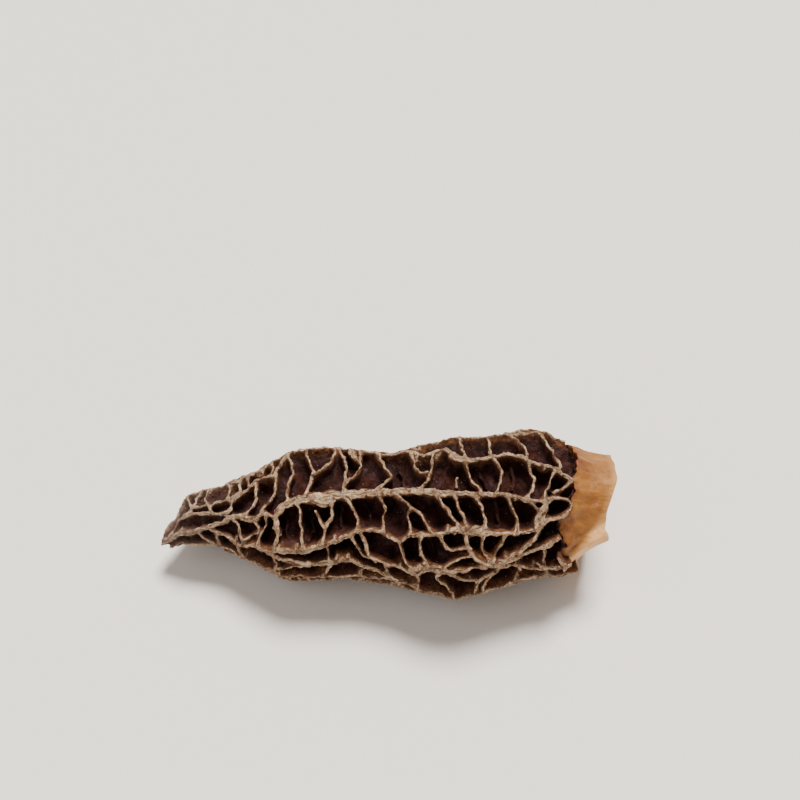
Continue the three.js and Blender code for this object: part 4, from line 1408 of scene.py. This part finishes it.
        # The walls: dull brown close under the crest, then red brown; thin places get a painted orange glow.
        glow_share = add_node(
            tree, "ShaderNodeMath", {0: self.thin_glow_places.add(tree, place), 1: thin}, operation="MAXIMUM"
        )
        glow = add_node(tree, "ShaderNodeMath", {0: glow_share, 1: tip}, operation="SUBTRACT", use_clamp=True)
        wall = paint(tree, self.wall, [(glow, self.wall_painted_glow)])
        shoulder = paint(tree, self.shoulder_dark, [(flecks, self.shoulder)])

        # The pits: near black, reddish in places, with a painted dull purple sheen on some floors.
        painted_sheen_patches = add_node(tree, "ShaderNodeMapRange", {"Value": self.painted_sheen_patches.add(tree, place), "To Max": 0.75})
        pit = paint(tree, self.pit, [(self.reddish.add(tree, place), self.pit_red), (painted_sheen_patches, self.pit_painted_sheen)])

        # From crest to wall to pit by the distance from the crest's edge, a little ragged, darker the deeper
        # it goes: partly the flesh's own colour, partly painted shade. At the tip the net is finer, so the
        # colours follow each other sooner.
        uneven = add_node(tree, "ShaderNodeMapRange", {
            "Value": flecks, "To Min": -self.zone_unevenness * MM, "To Max": self.zone_unevenness * MM,
        })
        finer = add_node(tree, "ShaderNodeMath", {0: tip, 1: 0.9, 2: 1.0}, operation="MULTIPLY_ADD")
        ragged = add_node(tree, "ShaderNodeMath", {0: gap, 1: finer, 2: uneven}, operation="MULTIPLY_ADD")
        on_shoulder, on_wall, in_pit = (
            add_node(
                tree, "ShaderNodeMapRange", {"Value": ragged, "From Min": start * MM, "From Max": end * MM},
                interpolation_type="SMOOTHSTEP",
            )
            for start, end in self.zones
        )
        bare = paint(tree, crest, [(on_shoulder, shoulder), (on_wall, wall), (in_pit, pit)])

        # Dust on the tip, and sparse pale specks of a fifth of a millimetre everywhere.
        above_pit = add_node(tree, "ShaderNodeMapRange", {"Value": in_pit, "To Min": 0.75, "To Max": 0.2})
        tip_dust = add_node(tree, "ShaderNodeMath", {0: tip, 1: above_pit}, operation="MULTIPLY")
        spread = add_node(tree, "ShaderNodeMapRange", {"Value": flecks, "To Min": 0.4, "To Max": 1.0})
        dust = add_node(tree, "ShaderNodeMath", {0: tip_dust, 1: spread}, operation="MULTIPLY")
        cells = add_node(tree, "ShaderNodeTexVoronoi", {
            "Vector": place, "Scale": per_metre(self.speck_spacing),
        })
        speck = add_node(tree, "ShaderNodeMapRange", {
            "Value": cells, "From Min": 0.05, "From Max": 0.12, "To Min": 0.8, "To Max": 0.0,
        })
        scattered = add_node(
            tree, "ShaderNodeMath", {0: speck, 1: self.specked_places.add(tree, place)}, operation="MULTIPLY"
        )
        colour = paint(tree, bare, [(dust, self.dust), (scattered, self.speck)])

        grainy = add_node(tree, "ShaderNodeMath", {0: strands, 1: 1.2, 2: grains}, operation="MULTIPLY_ADD")
        relief = add_node(tree, "ShaderNodeMath", {0: flecks, 1: 1.3, 2: grainy}, operation="MULTIPLY_ADD")
        rough = add_node(tree, "ShaderNodeMapRange", {
            "Value": gap, "From Min": 0.0002, "From Max": 0.002, "To Min": 0.9, "To Max": 0.55,
        })
        end_material(tree, colour, relief, 0.7, {"Roughness": rough, "Specular IOR Level": 0.2})
        return material


@dataclass(frozen=True)
class StemFleshFinish:
    """Dried stem flesh: smooth ochre and cream with darker stains towards the cap and a waxy skin."""

    cream: str = "#cd9c63"
    light: str = "#97672c"
    tan: str = "#7d4d1d"
    stain: str = "#5a2c0c"
    fibre: str = "#6e4116"
    clouds: Blotches = Blotches(5.0, 0.36, 0.64)
    mottle: Blotches = Blotches(1.6, 0.35, 0.65)
    fibres: Blotches = Blotches(0.7, 0.35, 0.65)
    fibre_stretch: float = 0.3
    fibre_strength: float = 0.28
    roughness: float = 0.5

    def make(self) -> bpy.types.Material:
        """Builds the material; the skin is nearly smooth, with fine lengthwise fibres.

        Returns:
            The material, which reads the stem's stain and pale attributes.
        """
        material, tree = new_material("dried morel stem flesh")
        place = add_node(tree, "ShaderNodeTexCoord").outputs["Object"]
        stained, pale = (
            add_node(tree, "ShaderNodeAttribute", attribute_name=label).outputs["Fac"]
            for label in ("stain", "pale")
        )
        lengthwise = add_node(
            tree, "ShaderNodeMapping", {"Vector": place, "Scale": (self.fibre_stretch, 1.0, 1.0)}
        )
        mottle = self.mottle.add(tree, place)
        fibres = self.fibres.add(tree, lengthwise)
        fibrous = add_node(tree, "ShaderNodeMath", {0: fibres, 1: self.fibre_strength}, operation="MULTIPLY")
        mottled = add_node(tree, "ShaderNodeMapRange", {"Value": mottle, "To Min": 0.35, "To Max": 1.0})
        stain = add_node(tree, "ShaderNodeMath", {0: stained, 1: mottled}, operation="MULTIPLY")
        colour = paint(tree, self.light, [
            (self.clouds.add(tree, place), self.tan), (fibrous, self.fibre), (pale, self.cream),
            (stain, self.stain),
        ])
        relief = add_node(tree, "ShaderNodeMath", {0: mottle, 1: 2.0, 2: fibres}, operation="MULTIPLY_ADD")
        end_material(tree, colour, relief, 0.3, {
            "Roughness": self.roughness, "Specular IOR Level": 0.28,
            "Subsurface Weight": 0.1, "Subsurface Scale": 0.001,
        })
        return material


# ---------------------------------------------------------------- pieces


@dataclass
class MorelCap:
    """The cap: a hollow core with the net of ridges fused to it.

    The core's rings are flat as far as bend_from_x and then turn to follow the margin. Their counts
    are those outside, from the tip, and then those inside, back towards the tip.
    """

    form: BodyForm
    net: RidgeNet
    finish: CapFleshFinish = field(default_factory=CapFleshFinish)
    flesh_thickness: float = 1.4
    hollow_from_x: float = -31.0
    neck_socket_radius: float = 6.8
    neck_socket_x: tuple[float, float] = (22.0, 24.0)
    bend_from_x: float = 1.0
    first_bend: float = 0.05
    ring_counts: tuple[int, int, int, int] = (60, 40, 20, 30)
    voxel: float = 0.17
    quick_voxel: float = 0.34
    most_triangles: int = 188_000
    sides: int = 144

    def _core(self) -> bpy.types.Object:
        """Makes the hollow cone of flesh under the ridges, closed at the margin.

        Returns:
            The core, whose rings run along the outside and back through the hollow.
        """
        form, bend = self.form, self.bend_from_x
        angles = np.linspace(0, 360, self.sides, endpoint=False)
        reach = form.margin_x(angles) - bend
        flat, bent, bent_inside, flat_inside = self.ring_counts
        outer = [np.full_like(angles, x) for x in np.linspace(form.stations[0][0], bend, flat)]
        outer += [bend + reach * share for share in np.linspace(self.first_bend, 1, bent)]
        inner = [bend + reach * share for share in np.linspace(1, self.first_bend, bent_inside)]
        inner += [np.full_like(angles, x) for x in np.linspace(bend, self.hollow_from_x, flat_inside)]
        points = [form.point(x, angles, form.radius(x) - form.pit_depth(x)) for x in outer]
        points += [form.point(x, angles, self._hollow_radius(x)) for x in inner]
        poles = [ring.mean(axis=0)[None] for ring in (points[0], points[-1])]
        return mesh_object("cap_core", np.vstack(points + poles), loft_faces(len(points), self.sides))

    def _hollow_radius(self, x: np.ndarray) -> np.ndarray:
        """The radius of the hollow at x; it widens at the base for the stem's neck."""
        wall = self.form.radius(x) - self.form.pit_depth(x) - self.flesh_thickness
        return np.maximum(wall, self.neck_socket_radius * ramp(x, *self.neck_socket_x))

    def build(self) -> bpy.types.Object:
        """Makes the cap.

        Returns:
            The finished cap, a plain mesh with its material.
        """
        material = self.finish.make()
        lines = self.net.make_lines("net_lines", self.net.ridges())
        cap = bpy.data.objects.new("cap", lines.data.copy())
        bpy.context.scene.collection.objects.link(cap)
        join_into(cap, self.net.make_lines("low_lines", self.net.low_lines()))
        add_geometry_nodes(cap, ridge_tree(), {"Flesh": material})
        settle(cap)
        join_into(cap, self._core())
        remesh = cap.modifiers.new("fuse", "REMESH")
        remesh.mode = "VOXEL"
        remesh.voxel_size = self.voxel * MM
        add_geometry_nodes(cap, flesh_tree(), {"Net Lines": lines, "Flesh": material})
        settle(cap)
        LOG.info("cap before thinning: %d faces", len(cap.data.polygons))
        thin = cap.modifiers.new("thin", "DECIMATE")
        thin.ratio = min(1.0, self.most_triangles / triangle_count(cap.data))
        add_geometry_nodes(cap, mark_tree(), {"Net Lines": lines, "Flesh": material})
        settle(cap)
        rest_on_floor(cap.data)
        bpy.data.objects.remove(lines)
        return cap


@dataclass
class StemRing:
    """One ring of points round the stem: its x, its radius, and how stained and how pale it is."""

    x: np.ndarray
    radius: np.ndarray | float
    stain: np.ndarray | float
    pale: np.ndarray | float = 0.0


@dataclass
class MorelStem:
    """The stem: a thin-walled stub with soft folds, flared at the margin and cut at the end.

    The cut's x is listed by angle, the bore's radius and the crease's angle by x, and the skin's radius
    by the share of the way from the margin to the cut. A smear holds its x and angle, its reach along
    x and in degrees, and its strength. A fold holds its height, how many lie round the stem, its twist
    in radians a millimetre, and its phase. Ring counts are those of the neck, the flare under the
    margin, the skin and the bore.
    """

    form: BodyForm
    finish: StemFleshFinish = field(default_factory=StemFleshFinish)
    sides: int = 240
    neck_x: tuple[float, float] = (24.7, 28.5)
    neck_radius: float = 6.4
    margin_radius: float = 10.5
    margin_gap: float = 0.02
    skin_profile: tuple[tuple[float, float], ...] = (
        (0.0, 10.5), (0.16, 10.0), (0.38, 9.0), (0.75, 8.0), (1.0, 7.5),
    )
    ring_counts: tuple[int, int, int, int] = (6, 10, 56, 30)
    cut: tuple[tuple[float, float], ...] = (
        (-60, 39.6), (-43, 39.6), (-22, 39.7), (-2, 39.5), (13, 39.0), (21, 38.5), (32, 37.8), (45, 37.3),
        (63, 36.9), (90, 36.6), (120, 36.6), (160, 37.0), (200, 37.8), (240, 38.7), (270, 39.3), (300, 39.6),
    )
    cut_waves: tuple[tuple[float, int, float], ...] = ((0.1, 5, 0), (0.07, 13, 40))
    cut_bulge: float = 0.12
    lip_reach: float = 0.75
    lip_flare: float = 0.6
    lip_from_share: float = 0.7
    lip_angle: float = 83.0
    lip_half_width: float = 7.0
    corner_dent: tuple[float, float, float] = (0.4, -45.0, 38.0)
    corner_dent_x: tuple[float, float] = (34.5, 39.0)
    crease: tuple[tuple[float, float], ...] = (
        (29.0, 97.0), (30.5, 90.0), (32.4, 82.5), (34.5, 77.5), (38.5, 70.0),
    )
    smears: tuple[tuple[float, float, float, float, float], ...] = (
        (34.4, 28, 3.2, 5, 0.65), (34.8, 2, 1.3, 5, 0.6), (30.0, 53, 2.2, 12, 0.8), (32.1, 66, 1.7, 6, 0.6),
        (31.0, 14, 1.6, 9, 0.4), (36.2, 38, 1.5, 6, 0.35), (39.6, -28, 0.9, 12, 0.7),
        (32.0, -28, 1.6, 7, 0.3), (33.2, -12, 1.7, 6, 0.3), (33.0, -20, 2.4, 14, 0.45),
        (32.6, -7, 1.3, 7, 0.5), (30.6, 44, 1.4, 8, 0.45),
    )
    folds: tuple[tuple[float, int, float, float], ...] = (
        (0.22, 3, 0.09, 0.8), (0.16, 5, -0.16, 0.0), (0.07, 13, 0.3, 0.0), (0.05, 21, -0.22, 1.1),
    )
    folds_x: tuple[float, float] = (29.0, 34.0)
    bore: tuple[tuple[float, float], ...] = ((24.0, 5.3), (30.0, 5.4), (34.5, 6.9), (38.2, 6.7), (42.0, 6.7))
    bore_fold_share: float = 0.6

    def _cut(self, angles: np.ndarray) -> np.ndarray:
        """Where the cut end lies.

        Args:
            angles: Angles round the stem.

        Returns:
            The cut's x at each angle.
        """
        edge = self.form.value_at(self.cut, wrapped(angles, self.cut[0][0]), 1)
        ragged = sum(
            reach * np.sin(np.radians(angles * number + phase)) for reach, number, phase in self.cut_waves
        )
        return edge + self.lip_reach * self._lip(angles) + ragged

    def _lip(self, angles: np.ndarray) -> np.ndarray:
        """How much the lip at the front of the cut shows at each angle, from 0 to 1."""
        return bell(wrapped(angles - self.lip_angle, -180), self.lip_half_width)

    def _dent(self, x: np.ndarray, angles: np.ndarray) -> np.ndarray:
        """How far the corner at the back of the cut has sunk in at points of the skin."""
        depth, at_angle, width = self.corner_dent
        return depth * bell(wrapped(angles - at_angle, -180), width) * ramp(x, *self.corner_dent_x) ** 1.5

    def _crease(self, x: np.ndarray, angles: np.ndarray) -> tuple[np.ndarray, np.ndarray]:
        """The long crease along the front.

        Args:
            x: Places along the stem.
            angles: Angles round it.

        Returns:
            The crease's height, and how pale it leaves the skin below it, from 0 to 1.
        """
        below = angles - np.interp(x, *np.array(self.crease).T)
        rise = 0.5 * bell(below, 5) - 0.35 * bell(below + 12, 7)
        spread = 7 + 17 * ramp(x, 32.0, 35.5)
        pale = ramp(below + spread, 0, 12) * ramp(angles, 150, 120)
        return rise * ramp(x, 29.5, 31.5), pale

    def _smeared(self, x: np.ndarray, angles: np.ndarray) -> np.ndarray:
        """The brown smears on the skin.

        Args:
            x: Places along the stem.
            angles: Angles round it.

        Returns:
            How dark they are at each point, from 0 to 1.
        """
        smeared = sum(
            strength * bell(x - at_x, length) * bell(wrapped(angles - at_angle, -180), width)
            for at_x, at_angle, length, width, strength in self.smears
        )
        return np.minimum(smeared, 1)

    def _folds(self, x: np.ndarray, angles: np.ndarray) -> np.ndarray:
        """The soft folds of the skin.

        Args:
            x: Places along the stem.
            angles: Angles round it.

        Returns:
            Their height at each point.
        """
        turn = np.radians(angles)
        height = sum(
            height * np.sin(number * turn + twist * x + phase) for height, number, twist, phase in self.folds
        )
        return height * ramp(x, *self.folds_x)

    def _bore_radius(self, x: np.ndarray, angles: np.ndarray) -> np.ndarray:
        """The radius of the hollow inside the stem at points of its wall."""
        folds = self.bore_fold_share * self._folds(x, angles)
        return self.form.value_at(self.bore, x, 1) + folds - self._dent(x, angles)

    def _outside(self, angles: np.ndarray) -> Iterator[StemRing]:
        """The rings from the neck inside the cap, out to the margin and along the skin to the cut.

        Args:
            angles: The angles of a ring's points.

        Returns:
            The rings in order.
        """
        margin, cut = self.form.margin_x(angles), self._cut(angles)
        on_neck, under_margin, on_skin, _ = self.ring_counts
        for x in np.linspace(*self.neck_x, on_neck):
            yield StemRing(np.full_like(angles, x), self.neck_radius, 1.0)
        for radius in np.linspace(self.neck_radius, self.margin_radius, under_margin):
            yield StemRing(margin + self.margin_gap, radius, 1.0)
        for share in np.linspace(0.01, 1, on_skin):
            x = margin + (cut - margin) * share
            radius = self.form.value_at(self.skin_profile, np.full_like(angles, share), 1)
            radius = radius + self.lip_flare * self._lip(angles) * ramp(share, self.lip_from_share, 1) ** 2
            crease, below_crease = self._crease(x, angles)
            radius = radius + self._folds(x, angles) + crease - self._dent(x, angles)
            stain = np.maximum(self._smeared(x, angles), max(0.0, 1 - share * 6))
            pale = np.maximum(0.95 * below_crease, 0.45 * ramp(share, 0.82, 1))
            yield StemRing(x, radius, stain, pale)

    def _inside(self, angles: np.ndarray, skin_radius: np.ndarray) -> Iterator[StemRing]:
        """The rings across the cut face, and back along the bore to the neck.

        Args:
            angles: The angles of a ring's points.
            skin_radius: The radius of the skin at the cut.

        Returns:
            The rings in order.
        """
        cut, neck = self._cut(angles), self.neck_x[0]
        for share in (0.3, 0.7):
            radius = skin_radius + (self._bore_radius(cut, angles) - skin_radius) * share
            yield StemRing(cut + self.cut_bulge, radius, 0.2, 0.6)
        for share in np.linspace(1, 0, self.ring_counts[-1]):
            x = neck + (cut - neck) * share
            yield StemRing(x, self._bore_radius(x, angles), 0.4)

    def build(self) -> bpy.types.Object:
        """Makes the stem.

        Returns:
            The finished stem, a plain mesh with its material.
        """
        angles = np.linspace(0, 360, self.sides, endpoint=False)
        rings = [*self._outside(angles)]
        rings += self._inside(angles, rings[-1].radius)
        points = np.vstack([self.form.point(ring.x, angles, ring.radius) for ring in rings])
        stem = mesh_object("stem", points, band_faces(len(rings), self.sides, closed=True))
        for label in ("stain", "pale"):
            rows = [np.broadcast_to(getattr(ring, label), angles.shape) for ring in rings]
            store(stem.data, label, np.concatenate(rows))
        stem.data.polygons.foreach_set("use_smooth", [True] * len(stem.data.polygons))
        stem.data.materials.append(self.finish.make())
        return stem


# ---------------------------------------------------------------- floor, light and camera


@dataclass
class Studio:
    """A plain pale floor, soft studio light and the camera.

    A light holds its name, the place it shines from, how many degrees of the sky it fills, its
    strength in watts a square metre and its colour.
    """

    floor_radius: float = 1000.0
    backdrop_bend: float = 250.0
    backdrop_height: float = 300.0
    floor_sides: int = 96
    bend_steps: int = 13
    floor_colour: str = "#e4e1dd"
    floor_roughness: float = 0.8
    sky_colour: str = "#f6e0ca"
    sky_strength: float = 0.4
    lights: tuple[tuple[str, tuple[float, float, float], float, float, str], ...] = (
        ("key", (60, 160, 350), 24, 7.4, "#fffaf4"), ("fill", (-240, -160, 260), 60, 0.9, "#f6f7ff"),
    )
    camera_place: tuple[float, float, float] = (1.965, -100.51, 141.35)
    camera_pitch: float = 45.3
    camera_clip_start: float = 5.0
    lens_per_width: float = 918 / 800
    sensor: float = 36.0

    def _floor(self) -> None:
        """Lays a round floor under the body, whose far edge bends up into a low backdrop."""
        sides = self.floor_sides
        turn = np.linspace(0, 2 * math.pi, sides, endpoint=False)
        profile = [
            (self.floor_radius + self.backdrop_bend * math.sin(b), self.backdrop_bend * (1 - math.cos(b)))
            for b in np.linspace(0, math.pi / 2, self.bend_steps)
        ]
        profile.append((self.floor_radius + self.backdrop_bend, self.backdrop_height))
        rings = [
            np.stack([reach * np.cos(turn), reach * np.sin(turn), np.full(sides, height)], axis=-1)
            for reach, height in profile
        ]
        faces = [tuple(range(sides)), *((a, d, c, b) for a, b, c, d in band_faces(len(rings), sides))]
        floor = mesh_object("floor", np.vstack(rings), faces)
        floor.data.polygons.foreach_set("use_smooth", [True] * len(faces))
        material = bpy.data.materials.new("matt paper")
        material.use_nodes = True
        shader = material.node_tree.nodes["Principled BSDF"]
        shader.inputs["Base Color"].default_value = linear(self.floor_colour)
        shader.inputs["Roughness"].default_value = self.floor_roughness
        floor.data.materials.append(material)

    def _light(self, name: str, place: tuple, spread: float, strength: float, colour: str) -> None:
        """Adds a far, broad and even light that faces the body.

        Args:
            name: The light's name.
            place: Where it shines from, in millimetres.
            spread: How many degrees of the sky it fills.
            strength: Its strength in watts a square metre.
            colour: Its hex colour.
        """
        lamp = bpy.data.lights.new(name, "SUN")
        lamp.angle = math.radians(spread)
        lamp.energy = strength
        lamp.color = linear(colour)[:3]
        obj = bpy.data.objects.new(name, lamp)
        across, along, up = np.array(place) * MM
        obj.location = (across, along, up)
        obj.rotation_euler = (math.atan2(math.hypot(across, along), up), 0.0, math.atan2(across, -along))
        bpy.context.scene.collection.objects.link(obj)

    def build(self) -> None:
        """Makes the floor, the lights and the camera."""
        self._floor()
        world = bpy.data.worlds.new("studio")
        world.use_nodes = True
        sky = world.node_tree.nodes["Background"]
        sky.inputs["Color"].default_value = linear(self.sky_colour)
        sky.inputs["Strength"].default_value = self.sky_strength
        bpy.context.scene.world = world
        for light in self.lights:
            self._light(*light)
        camera = bpy.data.cameras.new("camera")
        camera.sensor_width = self.sensor
        camera.lens = self.sensor * self.lens_per_width
        camera.clip_start = self.camera_clip_start * MM
        obj = bpy.data.objects.new("camera", camera)
        obj.location = np.array(self.camera_place) * MM
        obj.rotation_euler = (math.radians(90 - self.camera_pitch), 0, 0)
        bpy.context.scene.collection.objects.link(obj)
        bpy.context.scene.camera = obj


# ---------------------------------------------------------------- the whole body


def main() -> None:
    """Builds every piece, binds it to the frame and reports it."""
    logging.basicConfig(level=logging.INFO, format="%(name)s: %(message)s")
    LOG.info("nodes in the frame: %s", ", ".join(frame["nodes"]))
    form = BodyForm()
    Studio().build()
    cap = MorelCap(form, RidgeNet(form)).build()
    stem = MorelStem(form).build()
    for piece, slot in ((cap, "cap_flesh"), (stem, "stem_flesh")):
        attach(piece, "root")
        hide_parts("cap" if piece is cap else "stem")
        LOG.info("%s: %d triangles", piece.name, triangle_count(piece.data))


if __name__ == "__main__":
    main()
